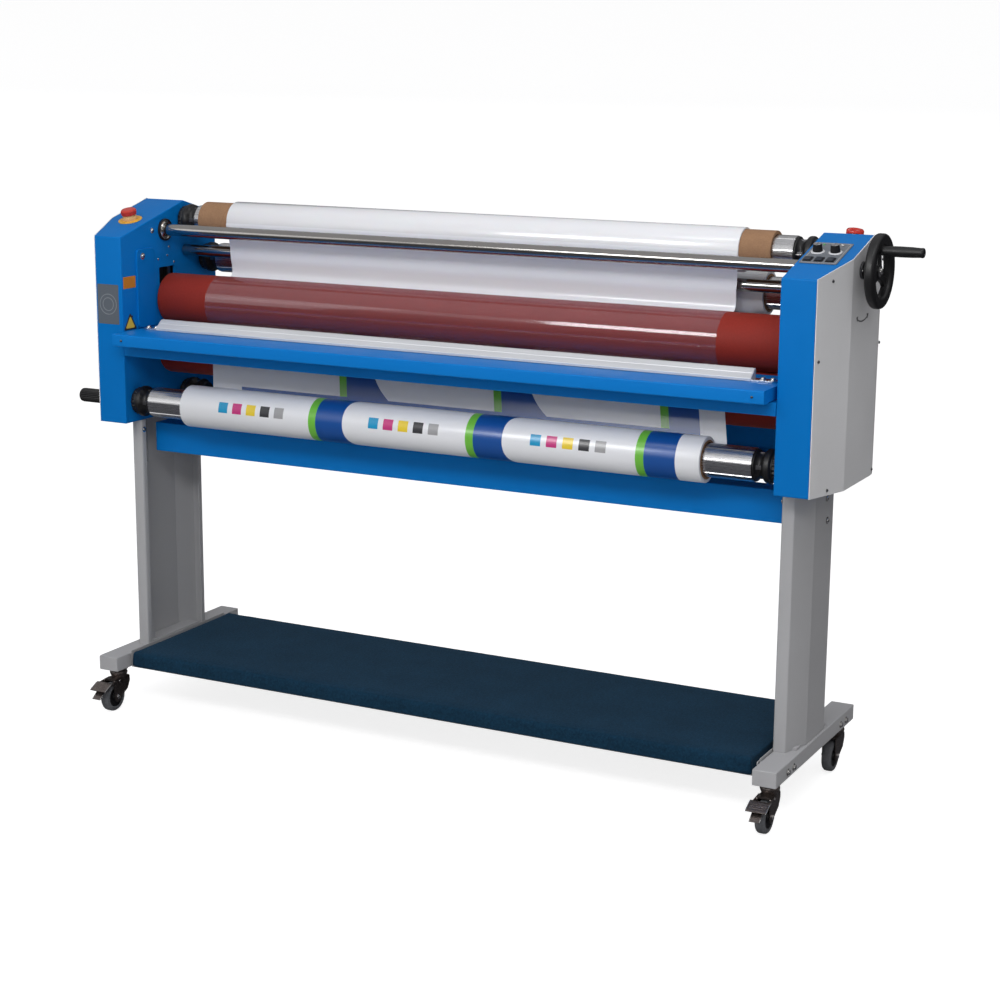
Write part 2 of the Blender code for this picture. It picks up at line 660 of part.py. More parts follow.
def handwheel():
    """The rimmed handwheel with three spokes, and the grip that turns on it."""
    centre = (0, LIFT_SHAFT_Y, LIFT_SHAFT_Z)
    half = 0.011
    low, high = HANDWHEEL_X - half, HANDWHEEL_X + half
    inner = HANDWHEEL_R - 0.018
    rim = turned("handwheel", [(HANDWHEEL_R - 0.004, high), (HANDWHEEL_R, high - 0.005),
                               (HANDWHEEL_R, low + 0.005), (HANDWHEEL_R - 0.004, low),
                               (inner + 0.003, low), (inner, low + 0.005), (inner, high - 0.005),
                               (inner + 0.003, high)], centre, "black_plastic")
    bore_r, bore_end = LIFT_JOURNAL_R - 0.002 + GAP, 0.992
    hub = turned("handwheel_hub", [(0, 1.006), (0.016, 1.006), (0.018, 1.004), (0.018, 0.975),
                                   (bore_r, 0.975), (bore_r, bore_end), (0, bore_end)], centre)
    spokes = []
    for index in range(3):
        angle = math.radians(90 + 120 * index)
        spoke = box(f"handwheel_spoke_{index}", (-0.0045, -0.011, 0.011), (0.0045, 0.011, 0.067))
        spoke.data.transform(Matrix.Translation((0, 0, 0.039)))
        hub_middle = Matrix.Translation((0.9995, LIFT_SHAFT_Y, LIFT_SHAFT_Z))
        place(spoke, hub_middle @ Matrix.Rotation(angle, 4, "X"))
        spokes.append(spoke)
    boss = cylinder("handwheel_boss", 0.0090, low, high, "X", (0, GRIP_Y, GRIP_Z), segments=20)
    join(rim, hub, *spokes, boss)
    spindle_hole = cylinder("handwheel_spindle_hole", 0.0040 + GAP, low - 0.01, high + 0.01, "X",
                            (0, GRIP_Y, GRIP_Z), segments=16)
    cut(rim, spindle_hole)
    start = high + GAP
    profile = [(0, GRIP_END_X), (0.0095, GRIP_END_X), (0.0115, GRIP_END_X - 0.003),
               (0.0115, start + 0.012), (0.0095, start), (0.004, start), (0.004, low + 0.001),
               (0, low + 0.001)]
    turned("handwheel_grip", profile, (0, GRIP_Y, GRIP_Z), "black_plastic", segments=20)


def drive_motor():
    """The gearmotor in the right cabinet, bored to take the bottom roller's journal."""
    centre = (0, ROLLER_Y, BOTTOM_ROLLER_Z)
    low = INNER_X + FRAME_PLATE + GAP
    profile = [(0, 0.958), (0.033, 0.958), (0.036, 0.955), (0.036, 0.905), (0.045, 0.905),
               (0.045, low), (AXLE_R + GAP, low), (AXLE_R + GAP, 0.8745), (0, 0.8745)]
    turned("drive_motor", profile, centre, "dark_steel")


# ---------------------------------------------------------------- roll shafts and rolls
def chuck_profile(side):
    """Half of a roll chuck: stub in the side frame, grooved body, nose inside the shaft."""
    stub, wall, tip = CHUCK_STUB_X, CHUCK_WALL_X, CHUCK_TIP_X
    outwards = [(0, stub), (CHUCK_STUB_R, stub), (CHUCK_STUB_R, wall), (CHUCK_R + 0.003, wall),
                (CHUCK_R + 0.003, 0.836), (CHUCK_R, 0.834), (CHUCK_R, SHAFT_HALF + GAP),
                (CHUCK_NOSE_R, SHAFT_HALF + GAP), (CHUCK_NOSE_R, tip), (0, tip)]
    if side == RIGHT:
        return outwards
    return [(radius, -along) for radius, along in reversed(outwards)]


def chuck(name, side, centre):
    turned(name, chuck_profile(side), centre, "black_plastic")


def roll_shaft(name, centre, with_chucks):
    """The aluminium roll shaft; its chucks are turned in one with it, or left separate."""
    inner = SHAFT_R - SHAFT_WALL
    if not with_chucks:
        return tube(name, SHAFT_R, inner, -SHAFT_HALF, SHAFT_HALF, centre, "aluminium")
    half = chuck_profile(RIGHT)[:6] + [(SHAFT_R, 0.806)]
    mirrored = [(radius, -along) for radius, along in reversed(half)]
    made = turned(name, half + mirrored, centre, "aluminium")
    bore = cylinder(name + "_bore", inner, -SHAFT_HALF, SHAFT_HALF, "X", centre)
    vent = cylinder(name + "_vent", 0.004, 0.78, 0.89, "X", centre, segments=12)
    return cut(made, bore, vent)


def rolls():
    """Film supply, liner rewind, printed media and take-up, each on its own axis."""
    supply, rewind = (0, SUPPLY_Y, SUPPLY_Z), (0, REWIND_Y, REWIND_Z)
    media, takeup = (0, MEDIA_Y, MEDIA_Z), (0, TAKEUP_Y, TAKEUP_Z)
    roll_shaft("supply_shaft", supply, with_chucks=False)
    roll_shaft("rewind_shaft", rewind, with_chucks=True)
    roll_shaft("media_shaft", media, with_chucks=False)
    for side in (LEFT, RIGHT):
        chuck("supply_chuck_" + side_name(side), side, supply)
        chuck("media_chuck_" + side_name(side), side, media)
        chuck("takeup_chuck_" + side_name(side), side, takeup)
    tube("supply_core", CORE_R, CORE_BORE_R, *CORE_END_X, supply, "cardboard")
    tube("film_roll", FILM_ROLL_R, CORE_R + GAP, -ROLL_HALF, FILM_END_X, supply, "white_film")
    tube("liner_roll", LINER_ROLL_R, CORE_BORE_R, -0.701, 0.701, rewind, "white_film")
    tube("media_roll", MEDIA_ROLL_R, CORE_BORE_R, -ROLL_HALF, MEDIA_END_X, media,
         "printed_media")
    stub, wide = 0.868, 0.8475
    profile = [(0, stub), (0.006, stub), (0.006, wide), (IDLER_R, wide), (IDLER_R, -wide),
               (0.006, -wide), (0.006, -stub), (0, -stub)]
    turned("film_idler", profile, (0, IDLER_Y, IDLER_Z), "steel", segments=20)


def tension_knob(cover):
    """The media tension knob, on the outside of the left cabinet."""
    outer, inner = -1.022, -0.953
    profile = [(0, -0.892), (0.006, -0.892), (0.006, inner), (0.0165, inner), (0.0175, inner - 0.003),
               (0.0175, outer + 0.003), (0.0150, outer), (0, outer)]
    turned("tension_knob", profile, (0, MEDIA_Y, MEDIA_Z), "black_plastic", segments=20)
    hole = cylinder("tension_knob_hole", 0.0066, -0.98, -0.90, "X", (0, MEDIA_Y, MEDIA_Z))
    cut(cover, hole)


# ---------------------------------------------------------------- feed table
def feed_table():
    """The folded infeed table, and the guide bar that stands on it in front of the nip."""
    table = box("feed_table", (-TABLE_HALF, TABLE_FRONT_Y, TABLE_BOTTOM_Z),
                (TABLE_HALF, TABLE_NOSE_Y, TABLE_TOP_Z), "blue_paint")
    lip_y = TABLE_FRONT_Y + 0.030
    room = box("feed_table_room", (-TABLE_HALF + SHEET, TABLE_FRONT_Y + SHEET,
                                   TABLE_BOTTOM_Z + SHEET),
               (TABLE_HALF - SHEET, 0.0, TABLE_TOP_Z - SHEET))
    open_base = box("feed_table_open_base", (-TABLE_HALF + SHEET, lip_y, TABLE_BOTTOM_Z - 0.01),
                    (TABLE_HALF - SHEET, 0.0, TABLE_BOTTOM_Z + 0.01))
    open_ends = box("feed_table_open_ends", (-0.9, -0.135, TABLE_BOTTOM_Z - 0.01),
                    (0.9, 0.0, TABLE_TOP_Z - SHEET))
    cut(table, room, open_base, open_ends)
    bottom, lift = TABLE_TOP_Z + 0.0012, TABLE_TOP_Z + GAP
    outline = [(-0.153, bottom), (-0.122, bottom), (-0.122, 0.9930), (-0.130, 0.9930),
               (-0.153, 0.9745)]
    bar = prism("guide_bar", outline, "YZ", *GUIDE_END_X, "pale_aluminium")
    for side in (LEFT, RIGHT):
        name = side_name(side) + "_guide_tab"
        foot_outline = [(side * 0.765, -0.152), (side * 0.765, -0.123)]
        foot_outline += [(side * x, y) for x, y in arc((0.816, -0.1375), 0.0145, 90, -90, 8)]
        join(bar, prism(name, foot_outline, "XY", lift, lift + 0.004))


# ---------------------------------------------------------------- castors
def caster_fork(name, x, y):
    """A swivelling fork: stem, crown, two legs and the axle through them."""
    leg_x, leg_thick = 0.0145, 0.0025
    crown_low, crown_high = 0.0800, FOOT_Z[0] - GAP * 2
    head = cylinder(name, 0.020, crown_low + 0.002, crown_high, "Z", (x, y, 0), "dark_steel", 20)
    stem = cylinder(name + "_stem", CASTER_STEM_R, crown_high - 0.004, FOOT_Z[1] - 0.012, "Z",
                    (x, y, 0), segments=12)
    outer = leg_x + leg_thick
    crown = box(name + "_crown", (x - outer, y - 0.024, crown_low), (x + outer, y + 0.016,
                                                                    crown_low + 0.004))
    wheel_y, wheel_z = y - CASTER_TRAIL, WHEEL_R
    outline = [(y + 0.016, crown_low + 0.003), (y - 0.030, crown_low + 0.003)]
    outline += arc((wheel_y, wheel_z), 0.013, 175, 345, 6)
    legs = []
    for index, start in enumerate((x - outer, x + leg_x)):
        legs.append(prism(f"{name}_leg_{index}", outline, "YZ", start, start + leg_thick))
    axle = cylinder(name + "_axle", 0.004, x - outer - 0.003, x + outer + 0.003, "X",
                    (0, wheel_y, wheel_z), segments=12)
    join(head, stem, crown, *legs, axle)
    return head


def caster_wheel(name, x, y):
    """A rubber-tyred wheel on its hub."""
    half = WHEEL_WIDTH / 2
    hub = half + 0.0015
    profile = [(WHEEL_R - 0.003, half), (WHEEL_R, half - 0.004), (WHEEL_R, -half + 0.004),
               (WHEEL_R - 0.003, -half), (0.011, -hub), (0.0043, -hub), (0.0043, hub),
               (0.011, hub)]
    turned(name, profile, (x, y - CASTER_TRAIL, WHEEL_R), "wheel_rubber", segments=24)


BRAKE_PIVOT_Y, BRAKE_PIVOT_Z = -0.021, 0.0785


def brake_pedal(name, x, y, fork):
    """A foot pedal on a pin through the fork's legs."""
    pivot = (0, y + BRAKE_PIVOT_Y, BRAKE_PIVOT_Z)
    ear_x, ear_thick = 0.0176, 0.002
    pin = cylinder(name, 0.0022, x - ear_x - ear_thick, x + ear_x + ear_thick, "X", pivot,
                   "steel", segments=12)
    outline = [(y - 0.014, 0.0740), (y - 0.014, 0.0840), (y - 0.058, 0.0790), (y - 0.058, 0.0705)]
    ears = []
    for index, start in enumerate((x - ear_x - ear_thick, x + ear_x)):
        ears.append(prism(f"{name}_ear_{index}", outline, "YZ", start, start + ear_thick))
    tread = [(y - 0.052, 0.0795), (y - 0.052, 0.0765), (y - 0.084, 0.0655), (y - 0.088, 0.0680)]
    plate = prism(name + "_tread", tread, "YZ", x - 0.024, x + 0.024)
    join(pin, *ears, plate)
    hole = cylinder(name + "_hole", 0.0022 + GAP, x - 0.03, x + 0.03, "X", pivot, segments=12)
    cut(fork, hole)
    move_origin(pin, (x, pivot[1], pivot[2]))


def casters():
    """Four swivel castors; the two on the operator's side have brakes."""
    for side in (LEFT, RIGHT):
        for end, y in zip(("front", "rear"), CASTER_Y):
            name = f"{side_name(side)}_{end}"
            x = side * CASTER_X
            fork = caster_fork(name + "_caster_fork", x, y)
            caster_wheel(name + "_caster_wheel", x, y)
            if end == "front":
                brake_pedal(name + "_brake_pedal", x, y, fork)


# ---------------------------------------------------------------- assembly
def build():
    cutters = bearing_cutters()
    shells, covers = {}, {}
    for side in (LEFT, RIGHT):
        foot(side)
        column(side)
        side_frame(side, cutters)
        shells[side], covers[side] = cabinet(side)
        lift_block(side)
    cross_members()
    shelf()
    feed_table()
    emergency_stop(LEFT, shells[LEFT], -0.086, rear=False)
    emergency_stop(RIGHT, shells[RIGHT], 0.112, rear=True)
    control_panel(shells[RIGHT])
    roller("top_roller", TOP_ROLLER_Z)
    roller("bottom_roller", BOTTOM_ROLLER_Z)
    lift_shaft()
    hole = cylinder("lift_shaft_cover_hole", LIFT_JOURNAL_R, 0.94, 0.99, "X",
                    (0, LIFT_SHAFT_Y, LIFT_SHAFT_Z))
    cut(covers[RIGHT], hole)
    handwheel()
    drive_motor()
    rolls()
    tension_knob(covers[LEFT])
    casters()


build()
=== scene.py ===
"""Looks of the cold roll laminator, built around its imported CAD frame.

Lengths are metres. Every piece is modelled in machine coordinates: x from the plane midway
between the cabinets, y from the main rollers' axis (-y is the operator's side), z from the
floor. HOME is that origin's place in the frame, and every new piece is moved there.
"""
import math

import bmesh
import bpy
from mathutils import Matrix, Vector
from mathutils.geometry import tessellate_polygon


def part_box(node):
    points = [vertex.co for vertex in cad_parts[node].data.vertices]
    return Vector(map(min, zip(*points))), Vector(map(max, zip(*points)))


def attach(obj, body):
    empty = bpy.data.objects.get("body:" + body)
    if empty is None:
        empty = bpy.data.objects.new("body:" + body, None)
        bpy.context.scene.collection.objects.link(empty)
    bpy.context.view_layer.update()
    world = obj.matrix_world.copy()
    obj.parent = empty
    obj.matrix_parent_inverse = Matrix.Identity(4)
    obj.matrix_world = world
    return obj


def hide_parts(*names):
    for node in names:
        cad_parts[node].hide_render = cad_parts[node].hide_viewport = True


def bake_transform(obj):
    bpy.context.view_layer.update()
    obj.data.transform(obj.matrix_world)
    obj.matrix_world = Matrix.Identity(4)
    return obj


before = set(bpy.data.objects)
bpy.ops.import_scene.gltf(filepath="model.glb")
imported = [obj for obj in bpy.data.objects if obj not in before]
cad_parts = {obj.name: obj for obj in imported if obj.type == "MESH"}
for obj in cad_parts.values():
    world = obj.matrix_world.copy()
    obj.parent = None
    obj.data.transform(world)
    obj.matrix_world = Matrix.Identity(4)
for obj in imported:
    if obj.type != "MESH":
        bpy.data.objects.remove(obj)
bpy.context.view_layer.update()
LEFT, RIGHT = -1, 1
SIDES = (LEFT, RIGHT)


def cad_middle(node):
    low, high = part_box(node)
    return (low + high) / 2


HOME = Vector(((cad_middle("left_side_frame").x + cad_middle("right_side_frame").x) / 2,
               cad_middle("bottom_roller_sleeve").y, 0))


def extent(node):
    """A CAD node's lowest and highest corners, in machine coordinates."""
    low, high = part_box(node)
    return low - HOME, high - HOME


def axis_of(node):
    """(y, z) of the X axis that a turned CAD node is centred on."""
    low, high = extent(node)
    return (low.y + high.y) / 2, (low.z + high.z) / 2


def radius_of(node):
    low, high = extent(node)
    return (high.z - low.z) / 2


def side_name(side):
    return "left" if side == LEFT else "right"


# ---------------------------------------------------------------- node material helpers
class Shader:
    """A node material under construction, with a Principled shader at its end."""

    def __init__(self, name, colour, roughness, metallic=0.0, **more):
        self.material = bpy.data.materials.new(name)
        self.material.use_nodes = True
        self.tree = self.material.node_tree
        self.surface = self.tree.nodes["Principled BSDF"]
        self.output = self.tree.nodes["Material Output"]
        self.set(self.surface, "Base Color", (*colour, 1.0))
        self.set(self.surface, "Roughness", roughness)
        self.set(self.surface, "Metallic", metallic)
        for socket, value in more.items():
            self.set(self.surface, socket.replace("_", " "), value)
        self.colour, self.roughness = (*colour, 1.0), roughness

    def set(self, node, socket, value):
        """Give a socket a number, a colour, or another node's output."""
        place = node.inputs[socket]
        if isinstance(value, bpy.types.NodeSocket):
            self.tree.links.new(value, place)
        elif place.type == "RGBA" and len(value) == 3:
            place.default_value = (*value, 1.0)
        else:
            place.default_value = value

    def node(self, kind, settings=None, **sockets):
        made = self.tree.nodes.new("ShaderNode" + kind)
        for name, value in (settings or {}).items():
            setattr(made, name, value)
        for socket, value in sockets.items():
            self.set(made, socket.replace("_", " "), value)
        return made

    def place(self, scale=(1, 1, 1), source="Object"):
        """Object or UV coordinates, in metres, stretched by a scale."""
        where = self.node("TexCoord").outputs[source]
        return self.node("Mapping", Vector=where, Scale=scale).outputs[0]

    def noise(self, scale, detail=4.0, stretch=(1, 1, 1), roughness=0.55, source="Object"):
        vector = self.place(stretch, source)
        return self.node("TexNoise", Vector=vector, Scale=scale, Detail=detail,
                         Roughness=roughness).outputs[0]

    def math(self, operation, first, second=0.0, third=0.0):
        made = self.node("Math", {"operation": operation})
        for index, value in enumerate((first, second, third)):
            self.set(made, index, value)
        return made.outputs[0]

    def remap(self, value, low, high, to_low=0.0, to_high=1.0):
        made = self.node("MapRange")
        for index, item in enumerate((value, low, high, to_low, to_high)):
            self.set(made, index, item)
        return made.outputs[0]

    def blend(self, share, first, second, how="MIX"):
        made = self.node("Mix", {"data_type": "RGBA", "blend_type": how})
        for index, item in ((0, share), (6, first), (7, second)):
            self.set(made, index, item)
        return made.outputs[2]

    def tone(self, height, amount, base=None):
        """Darken and lighten a colour by a small share, as a 0..1 texture says."""
        base = self.colour if base is None else base
        factor = self.remap(height, 0.25, 0.75, 1 - amount, 1 + amount)
        shade = self.node("CombineColor", Red=factor, Green=factor, Blue=factor).outputs[0]
        return self.blend(1.0, base, shade, "MULTIPLY")

    def bump(self, height, depth, normal=None, strength=1.0):
        made = self.node("Bump", Height=height, Distance=depth, Strength=strength)
        if normal is not None:
            self.set(made, "Normal", normal)
        return made.outputs[0]

    def use(self, **sockets):
        for socket, value in sockets.items():
            self.set(self.surface, socket.replace("_", " "), value)
        return self

    def split_position(self, source="Object"):
        made = self.node("SeparateXYZ", Vector=self.node("TexCoord").outputs[source])
        return made.outputs[0], made.outputs[1], made.outputs[2]


# ---------------------------------------------------------------- materials
def powder_coat(name, colour, grain=0.05, roughness=0.42, edge=0.10, sheen=0.30):
    """Sprayed powder coat: fine orange peel, cloudy sheen, and a painted highlight on sharp edges.
    """
    s = Shader(name, colour, roughness, Specular_IOR_Level=sheen)
    peel = s.noise(650, 3)
    speck = s.noise(2600, 2)
    cloud = s.noise(5.5, 5)
    tone = s.tone(speck, grain)
    tone = s.tone(cloud, 0.035, tone)
    # Painted highlight: sharp edges, found by pointiness, get a lighter tone of the paint.
    edge_highlight_share = s.remap(s.node("NewGeometry").outputs["Pointiness"], 0.51, 0.60)
    pale = tuple(min(1.0, c * 1.5 + 0.01) for c in colour)
    tone = s.blend(s.math("MULTIPLY", edge_highlight_share, edge * 3), tone, (*pale, 1.0))
    rough = s.remap(cloud, 0.3, 0.7, roughness - 0.05, roughness + 0.07)
    normal = s.bump(peel, 0.00022, strength=0.55)
    normal = s.bump(speck, 0.00007, normal, strength=0.5)
    return s.use(Base_Color=tone, Roughness=rough, Normal=normal).material


def ground_steel(name, colour=(0.60, 0.59, 0.58), roughness=0.14, around=True):
    """Ground and polished bar: fine lines round the bar, or along it."""
    s = Shader(name, colour, roughness, 1.0)
    stretch = (1, 0.02, 0.02) if around else (0.02, 1, 1)
    lines = s.noise(2400, 3, stretch)
    smear = s.noise(26, 4, (0.4, 1, 1))
    tone = s.tone(smear, 0.05)
    rough = s.remap(lines, 0.3, 0.7, roughness * 0.7, roughness * 1.4)
    normal = s.bump(lines, 0.00002, strength=0.5)
    return s.use(Base_Color=tone, Roughness=rough, Normal=normal).material


def extruded_aluminium(name, colour, roughness, metallic=1.0, depth=0.00004):
    """Drawn profile: hairlines along its length and a soft, uneven anodised sheen."""
    s = Shader(name, colour, roughness, metallic, Anisotropic=0.3)
    lines = s.noise(900, 3, (0.006, 1, 1))
    cloud = s.noise(9, 4, (0.35, 1, 1))
    tone = s.tone(lines, 0.06, s.tone(cloud, 0.04))
    rough = s.remap(lines, 0.3, 0.7, roughness - 0.06, roughness + 0.08)
    return s.use(Base_Color=tone, Roughness=rough,
                 Normal=s.bump(lines, depth, strength=0.5)).material


def silicone_rubber():
    """Ground silicone roller cover: matte, mottled, with faint grinding rings."""
    s = Shader("silicone", (0.270, 0.024, 0.015), 0.62, Sheen_Weight=0.06, Sheen_Roughness=0.5,
               Sheen_Tint=(1.0, 0.55, 0.45), Specular_IOR_Level=0.18)
    mottle = s.noise(240, 5)
    patch = s.noise(14, 4)
    rings = s.noise(1500, 2, (1, 0.01, 0.01))
    tone = s.tone(mottle, 0.10, s.tone(patch, 0.07))
    normal = s.bump(rings, 0.00004, strength=0.6)
    normal = s.bump(mottle, 0.00012, normal, strength=0.5)
    rough = s.remap(patch, 0.3, 0.7, 0.56, 0.70)
    return s.use(Base_Color=tone, Roughness=rough, Normal=normal).material


def clear_film():
    """Thin glossy film: see-through, with a faint milky haze and a sharp reflection."""
    s = Shader("clear_film", (0.62, 0.50, 0.55), 0.5)
    ripple = s.noise(7, 3, (0.25, 1, 1))
    normal = s.bump(ripple, 0.0012, strength=0.06)
    haze = s.node("BsdfDiffuse", Color=(0.62, 0.30, 0.32, 1), Roughness=0.6)
    clear = s.node("BsdfTransparent", Color=(0.93, 0.90, 0.92, 1))
    gloss = s.node("BsdfGlossy", Color=(0.98, 0.98, 1.0, 1), Roughness=0.075, Normal=normal)
    body = s.node("MixShader")
    s.set(body, 0, 0.07)
    s.set(body, 1, clear.outputs[0])
    s.set(body, 2, haze.outputs[0])
    fresnel = s.node("Fresnel", IOR=1.52, Normal=normal).outputs[0]
    skin = s.node("MixShader")
    upright = s.node("SeparateXYZ", Vector=s.node("NewGeometry").outputs["Normal"]).outputs[2]
    shown = s.remap(upright, -0.45, 0.05, 0.15, 0.90)
    s.set(skin, 0, s.math("MINIMUM", s.math("MULTIPLY", fresnel, shown), 0.075))
    s.set(skin, 1, body.outputs[0])
    s.set(skin, 2, gloss.outputs[0])
    s.tree.links.new(skin.outputs[0], s.output.inputs["Surface"])
    return s.material


def white_film(name, colour=(0.83, 0.835, 0.87), roughness=0.22):
    """White film on its liner: glossy, with slow waves where it isn't quite flat."""
    s = Shader(name, colour, roughness, Coat_Weight=0.5, Coat_Roughness=0.08,
               Subsurface_Weight=0.05, Subsurface_Scale=0.004)
    wave = s.noise(5, 3, (0.3, 1, 1))
    fibre = s.noise(700, 3)
    tone = s.tone(fibre, 0.012, s.tone(wave, 0.02))
    normal = s.bump(wave, 0.0016, strength=0.30)
    normal = s.bump(fibre, 0.00002, normal, strength=0.4)
    return s.use(Base_Color=tone, Normal=normal).material


def layered_edge():
    """The end of a wound roll: many thin layers, some prouder and greyer than others."""
    s = Shader("wound_edge", (0.72, 0.72, 0.75), 0.55)
    layers = s.noise(1900, 2, (0.0, 1, 1))
    tone = s.tone(layers, 0.12)
    return s.use(Base_Color=tone, Normal=s.bump(layers, 0.0001)).material


def core_board():
    """Spiral-wound brown board: fibres, blotches and a seam every turn of the spiral."""
    s = Shader("core_board", (0.315, 0.178, 0.098), 0.82, Specular_IOR_Level=0.3)
    x, turn, _ = s.split_position("UV")
    fibre = s.noise(520, 5, (0.5, 1, 1))
    blotch = s.noise(55, 5)
    spiral = s.math("FRACT", s.math("ADD", s.math("MULTIPLY", x, 11.0), turn))
    seam = s.math("LESS_THAN", spiral, 0.012)
    tone = s.tone(fibre, 0.13, s.tone(blotch, 0.09))
    tone = s.blend(s.math("MULTIPLY", seam, 0.45), tone, (0.16, 0.085, 0.045, 1))
    normal = s.bump(fibre, 0.00015, strength=0.6)
    return s.use(Base_Color=tone, Normal=normal).material


def moulded_plastic(name, colour, roughness=0.42, grain=0.00006, coat=0.0):
    """Spark-eroded moulded plastic."""
    s = Shader(name, colour, roughness, Coat_Weight=coat, Coat_Roughness=0.12)
    erosion = s.noise(1800, 3)
    haze = s.noise(60, 4)
    tone = s.tone(erosion, 0.10, s.tone(haze, 0.08))
    rough = s.remap(haze, 0.3, 0.7, roughness - 0.05, roughness + 0.08)
    return s.use(Base_Color=tone, Roughness=rough,
                 Normal=s.bump(erosion, grain, strength=0.5)).material


def gunmetal():
    """Plated castor pressings: dark, warm, slightly mottled metal."""
    s = Shader("gunmetal", (0.200, 0.172, 0.162), 0.30, 0.95)
    cloud = s.noise(90, 5)
    scratch = s.noise(1400, 2, (0.05, 1, 0.4))
    tone = s.tone(cloud, 0.22)
    rough = s.remap(scratch, 0.3, 0.7, 0.22, 0.42)
    return s.use(Base_Color=tone, Roughness=rough,
                 Normal=s.bump(scratch, 0.00004, strength=0.4)).material


def grey_tread():
    s = Shader("grey_tread", (0.118, 0.122, 0.132), 0.72)
    scuff = s.noise(180, 5)
    dust = s.noise(35, 4)
    tone = s.tone(scuff, 0.14, s.tone(dust, 0.10))
    return s.use(Base_Color=tone, Normal=s.bump(scuff, 0.00015, strength=0.6)).material


def shelf_cloth():
    """Navy felted cloth: a fine plain weave under short fibres, slightly uneven in colour."""
    s = Shader("shelf_cloth", (0.0062, 0.0305, 0.0610), 0.95, Sheen_Weight=0.09,
               Sheen_Roughness=0.5, Sheen_Tint=(0.30, 0.50, 0.72), Specular_IOR_Level=0.1)
    thread = 1 / 0.0016
    x, y, z = s.split_position()
    across = s.math("SINE", s.math("MULTIPLY", s.math("ADD", x, z), thread * 2 * math.pi))
    along = s.math("SINE", s.math("MULTIPLY", s.math("ADD", y, z), thread * 2 * math.pi))
    weave = s.math("MULTIPLY", across, along)
    felt = s.noise(190, 6, roughness=0.7)
    patch = s.noise(9, 5)
    pile = s.noise(1500, 3)
    tone = s.tone(felt, 0.42, s.tone(patch, 0.13))
    tone = s.tone(pile, 0.20, tone)
    upright = s.node("SeparateXYZ", Vector=s.node("NewGeometry").outputs["Normal"]).outputs[1]
    front = s.remap(s.math("ABSOLUTE", upright), 0.55, 0.85)
    crease = s.math("MULTIPLY", s.noise(38, 3, (1, 0.2, 0.22)), front)
    normal = s.bump(weave, 0.00010, strength=0.35)
    normal = s.bump(felt, 0.00055, normal, strength=0.7)
    normal = s.bump(crease, 0.0060, normal, strength=0.55)
    return s.use(Base_Color=tone, Normal=normal).material


CARD_PITCH, CARD_HALF = 0.2274, 0.100      # printed cards along the web
CARD_REPEAT = 0.422                        # printed cards across the web
CARD_FIRST = -0.642                        # left edge of the first card
CARD_WIDTH, STRIPE_WIDTH = 0.328, 0.020
SWATCH_SIZE, SWATCH_PITCH, SWATCH_FIRST = 0.026, 0.040, 0.071     # a centred row on each card
SWATCH_INKS = ((0.0, 0.30, 0.56, 1), (0.56, 0.03, 0.20, 1), (0.82, 0.60, 0.03, 1),
               (0.03, 0.03, 0.035, 1), (0.34, 0.34, 0.35, 1))


def printed_vinyl(name, gloss):
    """Printed web: white cards with a green stripe on blue, and a row of ink swatches on each.

    UV x is the place across the web and UV y the place along it, both in metres.
    """
    s = Shader(name, (0.80, 0.81, 0.84), gloss, Coat_Weight=0.25, Coat_Roughness=0.2)
    x, along, _ = s.split_position("UV")
    shifted = s.math("SUBTRACT", x, CARD_FIRST)
    card_x = s.math("WRAP", shifted, CARD_REPEAT, 0.0)
    card_y = s.math("WRAP", along, CARD_PITCH / 2, -CARD_PITCH / 2)
    rise = s.math("DIVIDE", card_y, CARD_HALF)
    bow = s.math("MULTIPLY", s.math("POWER", s.math("ABSOLUTE", rise), 2.6), 0.042)
    inside = s.math("MULTIPLY", s.math("GREATER_THAN", card_x, bow),
                    s.math("LESS_THAN", s.math("ABSOLUTE", card_y), CARD_HALF))
    white = s.math("MULTIPLY", inside, s.math("LESS_THAN", card_x, CARD_WIDTH))
    stripe = s.math("MULTIPLY", inside, s.math("LESS_THAN", card_x, CARD_WIDTH + STRIPE_WIDTH))
    blue, green = (0.006, 0.075, 0.32, 1), (0.16, 0.52, 0.05, 1)
    pale = (0.80, 0.81, 0.84, 1)
    tone = s.blend(stripe, blue, green)
    tone = s.blend(white, tone, pale)

    def bar(low_x, high_x, low_y, high_y):
        """A flat bar between two corners of the card."""
        a = s.math("MULTIPLY", s.math("GREATER_THAN", card_x, low_x),
                   s.math("LESS_THAN", card_x, high_x))
        b = s.math("MULTIPLY", s.math("GREATER_THAN", card_y, low_y),
                   s.math("LESS_THAN", card_y, high_y))
        return s.math("MULTIPLY", a, b)

    for index, swatch_ink in enumerate(SWATCH_INKS):
        left = SWATCH_FIRST + SWATCH_PITCH * index
        patch = bar(left, left + SWATCH_SIZE, -SWATCH_SIZE / 2, SWATCH_SIZE / 2)
        tone = s.blend(patch, tone, swatch_ink)
    margin = s.math("MAXIMUM", s.math("GREATER_THAN", x, 0.624),
                    s.math("LESS_THAN", x, -0.600))
    tone = s.blend(margin, tone, pale)
    wave = s.noise(6, 3, (0.3, 1, 1))
    ink = s.noise(900, 2)
    normal = s.bump(wave, 0.0010, strength=0.25)
    normal = s.bump(ink, 0.00002, normal, strength=0.4)
    return s.use(Base_Color=s.tone(ink, 0.02, tone), Normal=normal).material


def label(name, colour, roughness=0.4):
    """A printed sticker: flat ink with a little mottling."""
    s = Shader(name, colour, roughness, Coat_Weight=0.3, Coat_Roughness=0.25)
    return s.use(Base_Color=s.tone(s.noise(400, 4), 0.06)).material


